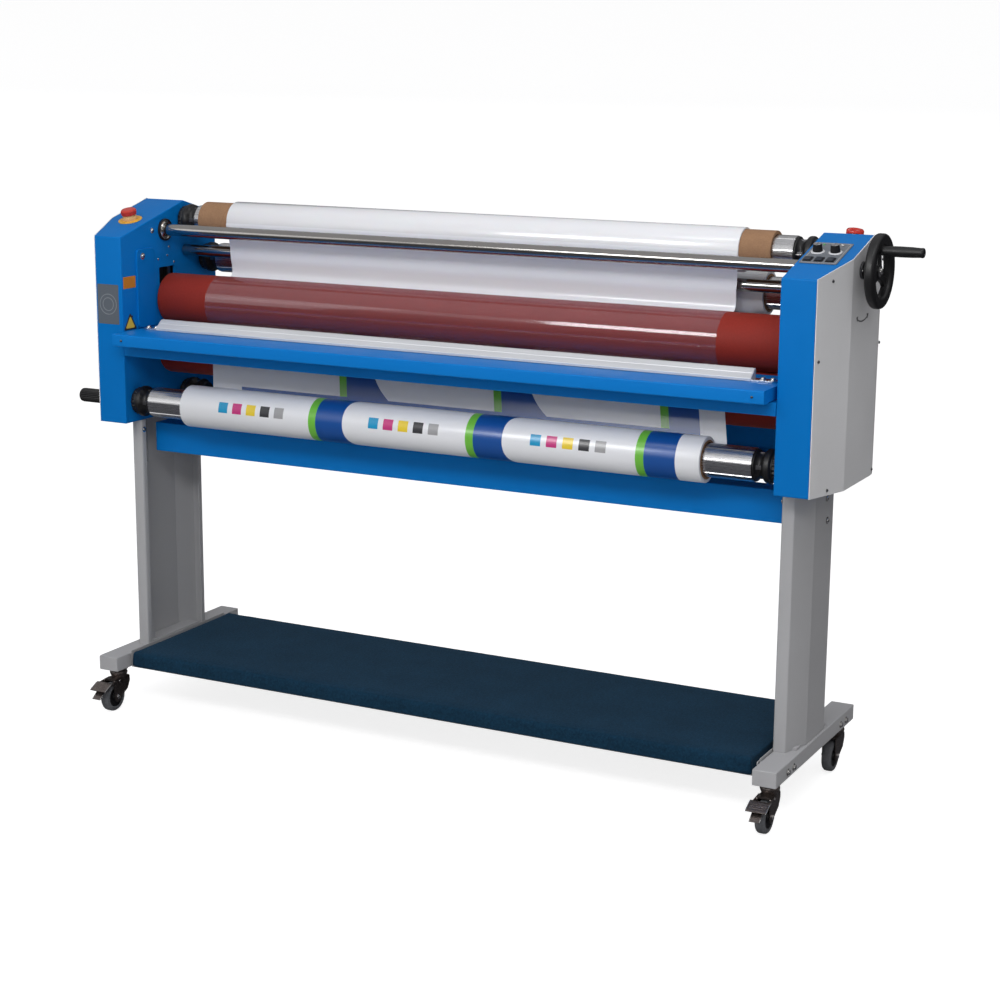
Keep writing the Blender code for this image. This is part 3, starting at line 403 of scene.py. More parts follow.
BLUE = powder_coat("blue_paint", (0.0, 0.160, 0.510), grain=0.07, roughness=0.38, sheen=0.09)
GREY = powder_coat("grey_paint", (0.600, 0.600, 0.612), grain=0.13, roughness=0.52)
PALE_GREY = powder_coat("light_grey_paint", (0.365, 0.365, 0.375), grain=0.09, roughness=0.50)
STEEL = ground_steel("bar_steel", (0.40, 0.385, 0.37), 0.17)
BRIGHT = ground_steel("bright_fastener", (0.74, 0.73, 0.71), 0.18, around=False)
DARK_STEEL = ground_steel("dark_machined_steel", (0.17, 0.17, 0.18), 0.34)
ALUMINIUM = extruded_aluminium("shaft_aluminium", (0.66, 0.66, 0.67), 0.26)
GUIDE_METAL = extruded_aluminium("guide_aluminium", (0.68, 0.69, 0.71), 0.42, metallic=0.35)
SILICONE = silicone_rubber()
CLEAR_FILM = clear_film()
FILM = white_film("film_on_liner")
# A lighter, bluer copy of the roll's film colour: painted light that makes the hanging webs brighter
# than the film on the roll.
LIGHTENED_WEB_FILM = white_film("film_web", (0.86, 0.86, 0.91), 0.30)
WOUND_EDGE = layered_edge()
BOARD = core_board()
BLACK = moulded_plastic("black_plastic", (0.008, 0.008, 0.009), 0.45)
SATIN_BLACK = moulded_plastic("satin_black", (0.006, 0.006, 0.007), 0.44, 0.00003)
RED = moulded_plastic("stop_red", (0.56, 0.030, 0.018), 0.38, 0.00003, coat=0.3)
YELLOW = moulded_plastic("stop_yellow", (0.80, 0.42, 0.035), 0.42, 0.00003)
PANEL = moulded_plastic("panel_grey", (0.150, 0.165, 0.190), 0.5, 0.00003)
BUTTON_BLUE = moulded_plastic("button_cap", (0.012, 0.018, 0.032), 0.35, 0.00003)
KNOB_SKIRT = moulded_plastic("knob_skirt", (0.62, 0.63, 0.66), 0.35, 0.00003)
FOOT_GREY = powder_coat("foot_paint", (0.400, 0.400, 0.412), grain=0.10, roughness=0.50)
GUNMETAL = gunmetal()
TREAD = grey_tread()
CLOTH = shelf_cloth()
PRINT_ROLL = printed_vinyl("printed_roll", 0.30)
ORANGE_LABEL = label("orange_label", (0.62, 0.22, 0.02))
YELLOW_LABEL = label("yellow_label", (0.86, 0.58, 0.06))
PLATE_LABEL = label("plate_label", (0.100, 0.120, 0.145), 0.5)
PLATE_INK = label("plate_ink", (0.200, 0.225, 0.255), 0.5)
# Black ink for print, and painted shade in screw sockets.
INK_AND_SOCKET_SHADE = label("label_ink_and_socket_shade", (0.02, 0.02, 0.022))
SILVER_INK = label("silver_ink", (0.50, 0.51, 0.53))
# Near-white paint on the cover sheet's top edge and ends: a painted highlight line.
COVER_EDGE_HIGHLIGHT = powder_coat("cover_edge_painted_highlight", (0.86, 0.86, 0.87), grain=0.05, roughness=0.45)
COLLAR = moulded_plastic("collar_buff", (0.72, 0.43, 0.18), 0.42, 0.00003)
KNOB_CAP = ground_steel("knob_cap", (0.55, 0.55, 0.56), 0.28)
TAB_METAL = ground_steel("tab_metal", (0.78, 0.78, 0.78), 0.22, around=False)
LAMP = moulded_plastic("lamp", (0.10, 0.38, 0.12), 0.2, 0.00001, coat=1.0)
ARC_INK = label("arc_ink", (0.11, 0.11, 0.115))
SLOT_OF = {BLUE: "blue_paint", GREY: "grey_paint", PALE_GREY: "light_grey_paint",
           STEEL: "steel", BRIGHT: "steel", DARK_STEEL: "dark_steel", GUNMETAL: "dark_steel",
           ALUMINIUM: "aluminium", GUIDE_METAL: "pale_aluminium", SILICONE: "silicone",
           FILM: "white_film", LIGHTENED_WEB_FILM: "white_film", CLEAR_FILM: "white_film",
           BOARD: "cardboard", PRINT_ROLL: "printed_media", BLACK: "black_plastic",
           SATIN_BLACK: "black_plastic", PANEL: "panel_grey", RED: "stop_red",
           CLOTH: "shelf_fabric", TREAD: "wheel_rubber"}


# ---------------------------------------------------------------- outlines and places
def arc(centre, radius, start, end, count):
    """Points along an arc, between two angles in degrees."""
    points = []
    for index in range(count + 1):
        angle = math.radians(start + (end - start) * index / count)
        points.append((centre[0] + radius * math.cos(angle),
                       centre[1] + radius * math.sin(angle)))
    return points


def fillet(path, radius, closed=True, steps=4):
    """Round the corners of a flat path with arcs; radius may be one number per corner."""
    points = [Vector(point) for point in path]
    radii = radius if isinstance(radius, (list, tuple)) else [radius] * len(points)
    rounded = []
    for index, corner in enumerate(points):
        before = points[index - 1] - corner
        after = points[(index + 1) % len(points)] - corner
        at_end = not closed and index in (0, len(points) - 1)
        if at_end or before.angle(after) > math.radians(178):
            rounded.append(corner)
            continue
        half = before.angle(after) / 2
        reach = min(radii[index] / math.tan(half), before.length * 0.48, after.length * 0.48)
        before.normalize()
        after.normalize()
        centre = corner + (before + after).normalized() * (reach / math.cos(half))
        first, last = corner + before * reach - centre, corner + after * reach - centre
        turn = first.angle(last)
        for step in range(steps + 1):
            share = step / steps
            swung = (first * math.sin((1 - share) * turn) + last * math.sin(share * turn))
            rounded.append(centre + swung / math.sin(turn))
    return [tuple(point) for point in rounded]


def rounded_box(low, high, radius, steps=4):
    """The outline of a rectangle with rounded corners."""
    corners = [(low[0], low[1]), (high[0], low[1]), (high[0], high[1]), (low[0], high[1])]
    return fillet(corners, radius, steps=steps)


def shifted(path, distance, closed=False):
    """A path moved sideways, to the left of its direction, with mitred corners."""
    points = [Vector(point) for point in path]
    count = len(points)
    moved = []
    for index, point in enumerate(points):
        before = points[index - 1] if closed or index else None
        after = points[(index + 1) % count] if closed or index < count - 1 else None
        normals = []
        for start, end in ((before, point), (point, after)):
            if start is not None and end is not None and (end - start).length > 1e-9:
                along = (end - start).normalized()
                normals.append(Vector((-along.y, along.x)))
        if len(normals) == 1:
            moved.append(tuple(point + normals[0] * distance))
            continue
        total = normals[0] + normals[1]
        moved.append(tuple(point + total * (distance / (1 + normals[0].dot(normals[1])))))
    return moved


def strip(path, thickness):
    """The closed outline of a bent sheet whose outer face follows a path."""
    return list(path) + shifted(path, thickness)[::-1]


def circle(centre, radius, count=24):
    return arc(centre, radius, 0, 360, count)[:-1]


def ramp(value, table):
    """Straight-line interpolation through (position, value) pairs."""
    for (start, low), (end, high) in zip(table, table[1:]):
        if value <= end:
            share = max(0.0, (value - start) / (end - start))
            return low + (high - low) * share
    return table[-1][1]


def along_x(y, z, x=0.0):
    """The matrix that lays local Z along +X at a place."""
    return Matrix.Translation((x, y, z)) @ Matrix.Rotation(math.radians(90), 4, "Y")


def facing(point, direction):
    """The matrix that stands local Z along a direction at a point."""
    turn = Vector(direction).to_track_quat("Z", "Y").to_matrix().to_4x4()
    return Matrix.Translation(point) @ turn


# ---------------------------------------------------------------- drawing meshes
class Draft:
    """A mesh drawn in machine coordinates out of grids, turned shapes, prisms and boxes."""

    def __init__(self):
        self.bm = bmesh.new()
        self.uv = self.bm.loops.layers.uv.new("UVMap")
        self.materials = []

    def face(self, verts, material, uvs=None):
        unique = list(dict.fromkeys(verts))
        if len(unique) < 3:
            return
        if material not in self.materials:
            self.materials.append(material)
        made = self.bm.faces.new(unique)
        made.material_index = self.materials.index(material)
        for loop in made.loops:
            if uvs:
                loop[self.uv].uv = uvs[verts.index(loop.vert)]

    def grid(self, rows, material, ring=False, uvs=None):
        """Faces between rows of points; ring closes each row, and a row may be one point.

        uvs gives the texture place of (row number, point number).
        """
        made = [[self.bm.verts.new(point) for point in row] for row in rows]
        for i, (first, second) in enumerate(zip(made, made[1:])):
            count = max(len(first), len(second))
            for j in range(count if ring else count - 1):
                verts = [first[j % len(first)], first[(j + 1) % len(first)],
                         second[(j + 1) % len(second)], second[j % len(second)]]
                places = [(i, j), (i, j + 1), (i + 1, j + 1), (i + 1, j)]
                self.face(verts, material, [uvs(*place) for place in places] if uvs else None)
        return self

    def turn(self, profile, material, matrix, steps=64, ribs=None, girth=1.0):
        """A shape turned about local Z from (radius, height) points.

        ribs is (number, depth) of flutes round it. UV is (height, girth times the turn).
        """
        rows = []
        for radius, height in profile:
            row = []
            for step in range(steps if radius > 1e-7 else 1):
                angle = 2 * math.pi * step / steps
                reach = radius
                if ribs:
                    reach -= ribs[1] * (0.5 - 0.5 * math.cos(ribs[0] * angle))
                row.append(matrix @ Vector((reach * math.cos(angle), reach * math.sin(angle),
                                            height)))
            rows.append(row)

        def place(i, j):
            return profile[i][1], girth * j / steps
        return self.grid(rows, material, True, place)

    def prism(self, outline, low, high, material, axis="X", holes=(), matrix=None):
        """A flat outline pushed along an axis, with holes through it.

        The outline is (y, z) for axis X, (x, z) for axis Y and (x, y) for axis Z.
        """
        lift = {"X": lambda p, h: Vector((h, p[0], p[1])),
                "Y": lambda p, h: Vector((p[0], h, p[1])),
                "Z": lambda p, h: Vector((p[0], p[1], h))}[axis]
        matrix = matrix or Matrix.Identity(4)
        loops = [list(outline), *[list(hole) for hole in holes]]
        ends = []
        for level in (low, high):
            ends.append([[self.bm.verts.new(matrix @ lift(point, level)) for point in loop]
                         for loop in loops])
        for first, second in zip(*ends):
            for j in range(len(first)):
                k = (j + 1) % len(first)
                self.face([first[j], first[k], second[k], second[j]], material)
        flat = [[Vector((*point, 0)) for point in loop] for loop in loops]
        for level in ends:
            verts = sum(level, [])
            if not holes:
                self.face(verts, material)
                continue
            for triangle in tessellate_polygon(flat):
                self.face([verts[index] for index in triangle], material)
        return self

    def box(self, low, high, material, matrix=None):
        outline = [(low[0], low[1]), (high[0], low[1]), (high[0], high[1]), (low[0], high[1])]
        return self.prism(outline, low[2], high[2], material, "Z", matrix=matrix)

    def screw(self, point, direction, radius=0.0040, material=None, washer=False):
        """A button-head screw with a socket painted black as shade, and a washer under it if asked.
        """
        material = material or BRIGHT
        matrix = facing(point, direction)
        base = 0.0
        if washer:
            base = radius * 0.25
            ring = [(0, 0), (radius * 1.55, 0), (radius * 1.6, base * 0.8), (radius * 1.5, base)]
            self.turn([*ring, (0, base)], material, matrix, 20)
        dome = [(radius, base), (radius, base + radius * 0.25), (radius * 0.86, base + radius * 0.5),
                (radius * 0.6, base + radius * 0.66), (radius * 0.46, base + radius * 0.68)]
        self.turn([(0, base), *dome], material, matrix, 20)
        # The socket is drawn in black ink: painted shade in the recess.
        socket = [(radius * 0.46, base + radius * 0.68), (radius * 0.42, base + radius * 0.3),
                  (0, base + radius * 0.3)]
        return self.turn(socket, INK_AND_SOCKET_SHADE, matrix, 6)

    def hex_bolt(self, point, direction, radius=0.0065):
        """A hexagon head on a washer."""
        matrix = facing(point, direction)
        self.turn([(0, 0), (radius * 1.35, 0), (radius * 1.35, 0.0012), (0, 0.0012)], BRIGHT,
                  matrix, 24)
        head = [(radius, 0.0012), (radius, 0.0048), (radius * 0.86, 0.0056), (0, 0.0056)]
        return self.turn(head, BRIGHT, matrix, 6)

    def done(self, name, body, *replaced, bevel=0.0, sharp=35, segments=3):
        """Finish the piece: shade it, round its edges, and let it ride its CAD body."""
        bm = self.bm
        bmesh.ops.remove_doubles(bm, verts=bm.verts, dist=1e-6)
        bmesh.ops.recalc_face_normals(bm, faces=bm.faces)
        for face in bm.faces:
            face.smooth = True
        for edge in bm.edges:
            edge.smooth = edge.calc_face_angle(0.0) < math.radians(sharp)
        mesh = bpy.data.meshes.new(name)
        bm.to_mesh(mesh)
        bm.free()
        for material in self.materials:
            mesh.materials.append(material)
        made = bpy.data.objects.new(name, mesh)
        bpy.context.scene.collection.objects.link(made)
        made.location = HOME
        if bevel:
            round_edges(made, bevel, segments)
        if body:
            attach(made, body)
        if replaced:
            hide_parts(*replaced)
        for material in self.materials:
            if material in SLOT_OF:
                break
        return made


def round_edges(item, width, segments=3):
    rounding = item.modifiers.new("bevel", "BEVEL")
    rounding.width = width
    rounding.segments = segments
    rounding.limit_method = "ANGLE"
    rounding.angle_limit = math.radians(32)
    rounding.use_clamp_overlap = True
    flat = item.modifiers.new("weighted", "WEIGHTED_NORMAL")
    flat.keep_sharp = False
    return item


def refine_cad(node, material, width=0.001):
    """Keep a CAD node, with welded corners, rounded edges and its own procedural look."""
    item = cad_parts[node]
    weld = item.modifiers.new("weld", "WELD")
    weld.merge_threshold = 0.00001
    round_edges(item, width, 2)
    item.data.materials.clear()
    item.data.materials.append(material)
    for polygon in item.data.polygons:
        polygon.use_smooth = True
# ---------------------------------------------------------------- cabinets
BODY_LOW, BODY_HIGH = extent("right_shell")
WALL_X = BODY_LOW.x
FRONT_Y, BACK_Y = BODY_LOW.y, BODY_HIGH.y
BOTTOM_Z, RIDGE_Z = BODY_LOW.z, BODY_HIGH.z
FRONT_TOP_Z, BACK_TOP_Z, RIDGE_Y = 1.198, 1.234, 0.064
BEND_FRONT_Y, BEND_BACK_Y = -0.080, 0.130
OUTER_X = extent("right_outer_cover")[1].x
COVER_PLAN = [(FRONT_Y, 0.9305), (BEND_FRONT_Y, OUTER_X), (BEND_BACK_Y, OUTER_X),
              (BACK_Y, 0.935)]
FRONT_SLOPE = (RIDGE_Z - FRONT_TOP_Z) / (RIDGE_Y - FRONT_Y)
REAR_SLOPE = (RIDGE_Z - BACK_TOP_Z) / (BACK_Y - RIDGE_Y)
LIFT_Y, LIFT_Z = axis_of("lift_shaft")
SUPPLY, REWIND = axis_of("supply_shaft"), axis_of("rewind_shaft")
MEDIA, TAKEUP = axis_of("media_shaft"), axis_of("takeup_chuck_left")
IDLER = axis_of("film_idler")
TOP_ROLLER, BOTTOM_ROLLER = axis_of("top_roller_sleeve"), axis_of("bottom_roller_sleeve")
STUB_R, AXLE_R, JOURNAL_R, PIN_R = 0.010, 0.0125, 0.0105, 0.006


def slope_z(y):
    if y <= RIDGE_Y:
        return FRONT_TOP_Z + (y - FRONT_Y) * FRONT_SLOPE
    return RIDGE_Z - (y - RIDGE_Y) * REAR_SLOPE


def on_slope(side, x, y):
    """The matrix of a place on a cabinet's top, with local Z along its normal."""
    rise = math.atan(FRONT_SLOPE) if y <= RIDGE_Y else -math.atan(REAR_SLOPE)
    return Matrix.Translation((side * x, y, slope_z(y))) @ Matrix.Rotation(rise, 4, "X")


def cabinet_body(side):
    """The blue housing: a pierced inner wall folded round into front, top, back and base."""
    name = side_name(side)
    draft = Draft()
    corner, fold = 0.0035, 0.0030
    side_view = [(FRONT_Y, BOTTOM_Z), (FRONT_Y, FRONT_TOP_Z),
                 (BEND_FRONT_Y, slope_z(BEND_FRONT_Y)), (RIDGE_Y, RIDGE_Z),
                 (BEND_BACK_Y, slope_z(BEND_BACK_Y)), (BACK_Y, BACK_TOP_Z), (BACK_Y, BOTTOM_Z)]
    outline = fillet(side_view, corner)
    rows = []
    for step in range(5):
        angle = math.radians(90 * step / 4)
        inset = shifted(outline, -fold * (1 - math.sin(angle)), closed=True)
        x = WALL_X + fold * (1 - math.cos(angle))
        rows.append([(side * x, y, z) for y, z in inset])
    edge = [(side * (ramp(y, COVER_PLAN) - 0.0022), y, z) for y, z in outline]
    draft.grid([*rows, edge], BLUE, ring=True)
    face = [(point[1], point[2]) for point in rows[0]]
    slot_low, slot_high = (-0.046, 0.9995), (0.022, 1.111)
    holes = [rounded_box(slot_low, slot_high, 0.003, 2)]
    for (y, z), radius in (((LIFT_Y, LIFT_Z), JOURNAL_R), (BOTTOM_ROLLER, AXLE_R),
                           (IDLER, PIN_R), (SUPPLY, STUB_R), (REWIND, STUB_R),
                           (MEDIA, STUB_R), (TAKEUP, STUB_R)):
        holes.append(circle((y, z), radius + 0.0004))
    draft.prism(face, side * WALL_X, side * (WALL_X + 0.008), BLUE, holes=holes)
    tongue = [(-0.058, 0.610), (0.056, 0.610), (0.056, BOTTOM_Z), (-0.058, BOTTOM_Z)]
    draft.prism(tongue, side * 0.8945, side * 0.8970, PALE_GREY)
    # A black sheet behind the slot in the wall: painted shade standing in for the dark inside of the
    # cabinet.
    liner = [(-0.062, 0.985), (0.038, 0.985), (0.038, 1.125), (-0.062, 1.125)]
    draft.prism(liner, side * 0.8712, side * 0.8725, BLACK)
    return draft.done(name + "_cabinet", "frame", name + "_shell", name + "_side_frame")


def cabinet_bracket(side):
    """The raised plate on each inner wall that carries the table, with its bolts."""
    draft = Draft()
    outline = [(-0.142, 0.969), (-0.142, 1.163), (-0.070, 1.163), (-0.070, 0.969)]
    draft.prism(fillet(outline, 0.010), side * (WALL_X - 0.005), side * (WALL_X + 0.001), BLUE)
    made = draft.done(side_name(side) + "_table_bracket", "frame", bevel=0.0012)
    bolts = Draft()
    inwards = (-side, 0, 0)
    for y, z in ((-0.120, 1.146),):
        bolts.screw((side * (WALL_X - 0.005), y, z), inwards, 0.0052, washer=True)
    bolts.screw((side * WALL_X, LIFT_Y - 0.052, LIFT_Z + 0.001), inwards, 0.0042, washer=True)
    for y, z in ((-0.050, 1.132), (-0.012, 1.139), (0.016, 1.120), (-0.004, 1.160)):
        bolts.screw((side * WALL_X, y, z), inwards, 0.0030)
    bolts.screw((side * WALL_X, -0.163, 1.000), inwards, 0.0024, INK_AND_SOCKET_SHADE)
    bolts.done(side_name(side) + "_wall_screws", "frame")
    return made


def outer_cover(side):
    """The grey outer sheet: bent twice in plan, its edges a little proud of the housing."""
    name = side_name(side)
    draft = Draft()
    thick, proud = 0.0020, 0.0012
    plan = fillet(COVER_PLAN, [0, 0.015, 0.110, 0], closed=False, steps=8)
    path = []
    for (y0, x0), (y1, x1) in zip(plan, plan[1:]):
        pieces = max(1, round((y1 - y0) / 0.02))
        path += [(y0 + (y1 - y0) * k / pieces, x0 + (x1 - x0) * k / pieces)
                 for k in range(pieces)]
    path.append(plan[-1])
    rim = sorted(set(path) | {(RIDGE_Y, ramp(RIDGE_Y, [(y, x) for y, x in plan]))})
    inner = shifted(rim, -thick)
    sections = []
    for (y, x), (inner_y, inner_x) in zip(rim, inner):
        top = slope_z(y) + proud
        sections.append([(side * x, y, BOTTOM_Z), (side * x, y, top),
                         (side * inner_x, inner_y, top), (side * inner_x, inner_y, BOTTOM_Z)])
    # Painted highlight: the sheet's top edge (start 1) and its two end faces are near white.
    for start, finish in ((0, 1), (1, 2), (2, 3), (3, 0)):
        look = COVER_EDGE_HIGHLIGHT if start == 1 else GREY
        draft.grid([[row[start], row[finish]] for row in sections], look)
    for section in (sections[0], sections[-1]):
        draft.grid([section[:2], [section[3], section[2]]], COVER_EDGE_HIGHLIGHT)
    made = draft.done(name + "_cover", "frame", name + "_outer_cover", bevel=0.0005, segments=2)
    screws = Draft()
    for y, z in ((-0.149, 1.192), (-0.188, 1.027), (0.126, 1.215), (0.126, 1.032),
                 (0.115, 0.748), (-0.140, 0.746)):
        x = ramp(y, COVER_PLAN)
        outwards = (side, -0.30 if y < BEND_FRONT_Y else 0, 0)
        screws.screw((side * x, y, z), outwards, 0.0036, DARK_STEEL)
    screws.done(name + "_cover_screws", "frame")
    return made


def wall_flange(side):
    """The black ring where the lift shaft meets a wall, with a bright bearing inside it."""
    draft = Draft()
    outer, inner, proud = 0.0275, 0.0240, 0.0070
    matrix = along_x(LIFT_Y, LIFT_Z, side * WALL_X)
    if side == RIGHT:
        matrix = matrix @ Matrix.Rotation(math.pi, 4, "X")
    ring = [(inner, 0), (outer, 0), (outer, proud - 0.0015), (outer - 0.0015, proud),
            (inner + 0.001, proud), (inner, proud - 0.001), (inner, 0)]
    draft.turn(ring, SATIN_BLACK, matrix, 64)
    bearing = [(0.0153, 0), (inner, 0), (inner, proud - 0.002), (0.0215, proud - 0.0012),
               (0.0200, proud - 0.0030), (0.0180, proud - 0.0010), (0.0160, proud - 0.0012),
               (0.0153, proud - 0.002), (0.0153, 0)]
    draft.turn(bearing, BRIGHT, matrix, 64)
    draft.done(side_name(side) + "_shaft_flange", "frame")


def sticker(name, corner_low, corner_high, material, side=None, border=None):
    """A thin label on the front face (side None) or on an inner wall."""
    draft = Draft()
    thick = 0.0004
    outline = rounded_box(corner_low, corner_high, 0.002, 3)
    if side is None:
        draft.prism(outline, FRONT_Y - thick, FRONT_Y + 0.0005, material, "Y")
    else:
        draft.prism(outline, side * (WALL_X - thick), side * (WALL_X + 0.0005), material)
    if border:
        middle = ((corner_low[0] + corner_high[0]) / 2, (corner_low[1] + corner_high[1]) / 2)
        for reach in border:
            ring = circle(middle, reach, 40)
            hole = circle(middle, reach - 0.0022, 40)
            draft.prism(ring, FRONT_Y - thick - 0.0002, FRONT_Y, PLATE_INK, "Y", holes=[hole])
    draft.done(name, "frame")


def labels():
    """Plain stand-ins for the stickers: a ringed plate, an orange tag and a blank triangle."""
    sticker("left_ringed_plate", (-0.925, 0.983), (-0.861, 1.081), PLATE_LABEL,
            border=(0.026, 0.017))
    sticker("left_orange_tag", (-0.198 + 0.004, 1.071), (-0.145, 1.100), ORANGE_LABEL, LEFT)
    draft = Draft()
    wall = LEFT * WALL_X
    middle_y, low_z, high_z, half = -0.1705, 0.968, 1.010, 0.0265
    for shrink, proud, look in ((0.0, 0.0003, INK_AND_SOCKET_SHADE), (0.0050, 0.0006, YELLOW_LABEL)):
        corners = [(middle_y - half + shrink * 1.5, low_z + shrink * 0.8),
                   (middle_y + half - shrink * 1.5, low_z + shrink * 0.8),
                   (middle_y, high_z - shrink * 1.6)]
        draft.prism(fillet(corners, 0.003), wall + proud, wall - 0.0005, look)
    draft.done("left_blank_triangle", "frame")


# ---------------------------------------------------------------- controls
def emergency_stop(side, x, y, drop=0.0):
    """A ribbed red mushroom cap over a pale collar, on a yellow disc."""
    name = side_name(side)
    matrix = on_slope(side, x, y)
    base = Draft()
    base.turn([(0, 0.0002), (0.0295, 0.0002), (0.0300, 0.0006), (0.0296, 0.0014),
               (0.0150, 0.0016), (0, 0.0016)], YELLOW, matrix, 72)
    matrix = matrix @ Matrix.Translation((0, 0, -drop))
    base.turn([(0, 0.0002), (0.0182, 0.0002), (0.0186, 0.0030), (0.0180, 0.0085),
               (0.0168, 0.0105), (0.0162, 0.0145), (0.0090, 0.0145), (0.0090, 0.0016),
               (0, 0.0016)], COLLAR, matrix, 72)
    base.done(name + "_estop_collar", "frame")
    cap = Draft()
    cap.turn([(0, 0.0235), (0.0174, 0.0235), (0.0174, 0.0150), (0.0182, 0.0150),
              (0.0192, 0.0165), (0.0195, 0.0185), (0.0192, 0.0205)], RED, matrix, 96)
    cap.turn([(0.0192, 0.0205), (0.0195, 0.0215), (0.0195, 0.0245), (0.0188, 0.0263)], RED,
             matrix, 144, ribs=(36, 0.0010))
    cap.turn([(0.0186, 0.0260), (0.0170, 0.0280), (0.0130, 0.0289), (0.0060, 0.0287),
              (0, 0.0285)], RED, matrix, 96)
    cap.turn([(0, 0.0138), (0.0080, 0.0138), (0.0080, 0.0240), (0, 0.0240)], BLACK, matrix, 32)
    cap.done(name + "_estop_cap", name + "_estop_button", name + "_estop_button", sharp=50)


PANEL_X, PANEL_Y = (0.857, 0.940), (-0.115, 0.003)
KNOB_Y, BUTTON_Y = -0.052, -0.094
KNOBS = {"speed_knob": 0.878, "winder_knob": 0.917}
BUTTONS = {"stop_button": 0.871, "reverse_button": 0.896, "forward_button": 0.921}


def control_panel():
    """The grey control plate with an outline, dial scales, bezels, a key switch and a lamp."""
    x, y = sum(PANEL_X) / 2, sum(PANEL_Y) / 2
    half_x = (PANEL_X[1] - PANEL_X[0]) / 2
    half_y = (PANEL_Y[1] - PANEL_Y[0]) / 2 / math.cos(math.atan(FRONT_SLOPE))
    matrix = on_slope(RIGHT, x, y)
    plate = Draft()
    outline = rounded_box((-half_x, -half_y), (half_x, half_y), 0.004)
    plate.prism(outline, 0.0002, 0.0017, PANEL, "Z", matrix=matrix)
    plate.done("control_plate", "frame", "control_panel", bevel=0.0004, segments=2)
    trim = Draft()
    inset = 0.004
    outer = rounded_box((-half_x + inset, -half_y + inset), (half_x - inset, half_y - inset),
                        0.003)
    inner = shifted(outer, 0.0009, closed=True)
    trim.prism(outer, 0.0016, 0.0019, SILVER_INK, "Z", holes=[inner], matrix=matrix)
    top = 0.0017
    for place in KNOBS.values():
        dial = on_slope(RIGHT, place, KNOB_Y)
        for mark in range(11):
            turn = Matrix.Rotation(math.radians(-135 + 27 * mark), 4, "Z")
            trim.box((-0.0004, 0.0160, top - 0.0002), (0.0004, 0.0182, top + 0.0002), SILVER_INK,
                     dial @ turn)
    for place in BUTTONS.values():
        bezel = rounded_box((-0.0094, -0.0118), (0.0094, 0.0118), 0.0015)
        opening = rounded_box((-0.0072, -0.0096), (0.0072, 0.0096), 0.0006)
        trim.prism(bezel, top - 0.0003, top + 0.0016, SATIN_BLACK, "Z", holes=[opening],
                   matrix=on_slope(RIGHT, place, BUTTON_Y))
    lamp = on_slope(RIGHT, 0.919, -0.011)
    trim.turn([(0, top), (0.0050, top), (0.0050, top + 0.002), (0.0036, top + 0.003),
               (0.0020, top + 0.003), (0, top + 0.0012)], BRIGHT, lamp, 32)
    lamp = on_slope(RIGHT, 0.878, -0.011)
    trim.turn([(0, top), (0.0028, top), (0.0026, top + 0.002), (0, top + 0.0028)], LAMP, lamp, 24)
    trim.done("control_trim", "frame")
    for name, place in KNOBS.items():
        knob(name, place)
    for name, place in BUTTONS.items():
        button = Draft()
        matrix = on_slope(RIGHT, place, BUTTON_Y)
        cap = rounded_box((-0.0067, -0.0091), (0.0067, 0.0091), 0.0010)
        button.prism(cap, -0.005, 0.0052, BUTTON_BLUE, "Z", matrix=matrix)
        button.done(name + "_cap", name, name, bevel=0.0006)


def knob(name, x):
    """A fluted black knob with a silver cap and a pointer line, on a dial skirt."""
    matrix = on_slope(RIGHT, x, KNOB_Y)
    draft = Draft()
    draft.turn([(0, 0.0020), (0.0148, 0.0020), (0.0150, 0.0026), (0.0140, 0.0036),
                (0.0106, 0.0042)], KNOB_SKIRT, matrix, 64)
    draft.turn([(0.0110, 0.0042), (0.0108, 0.0060), (0.0092, 0.0185), (0.0086, 0.0205)],
               SATIN_BLACK, matrix, 96, ribs=(18, 0.0009))
    draft.turn([(0.0086, 0.0203), (0.0075, 0.0210), (0.0072, 0.0208), (0, 0.0208)],
               KNOB_CAP, matrix, 64)
    draft.box((-0.0005, 0.0020, 0.0205), (0.0005, 0.0074, 0.0213), INK_AND_SOCKET_SHADE, matrix)
    draft.box((-0.0006, 0.0115, 0.0030), (0.0006, 0.0138, 0.0042), INK_AND_SOCKET_SHADE, matrix)
    draft.done(name + "_shape", name, name, sharp=50)


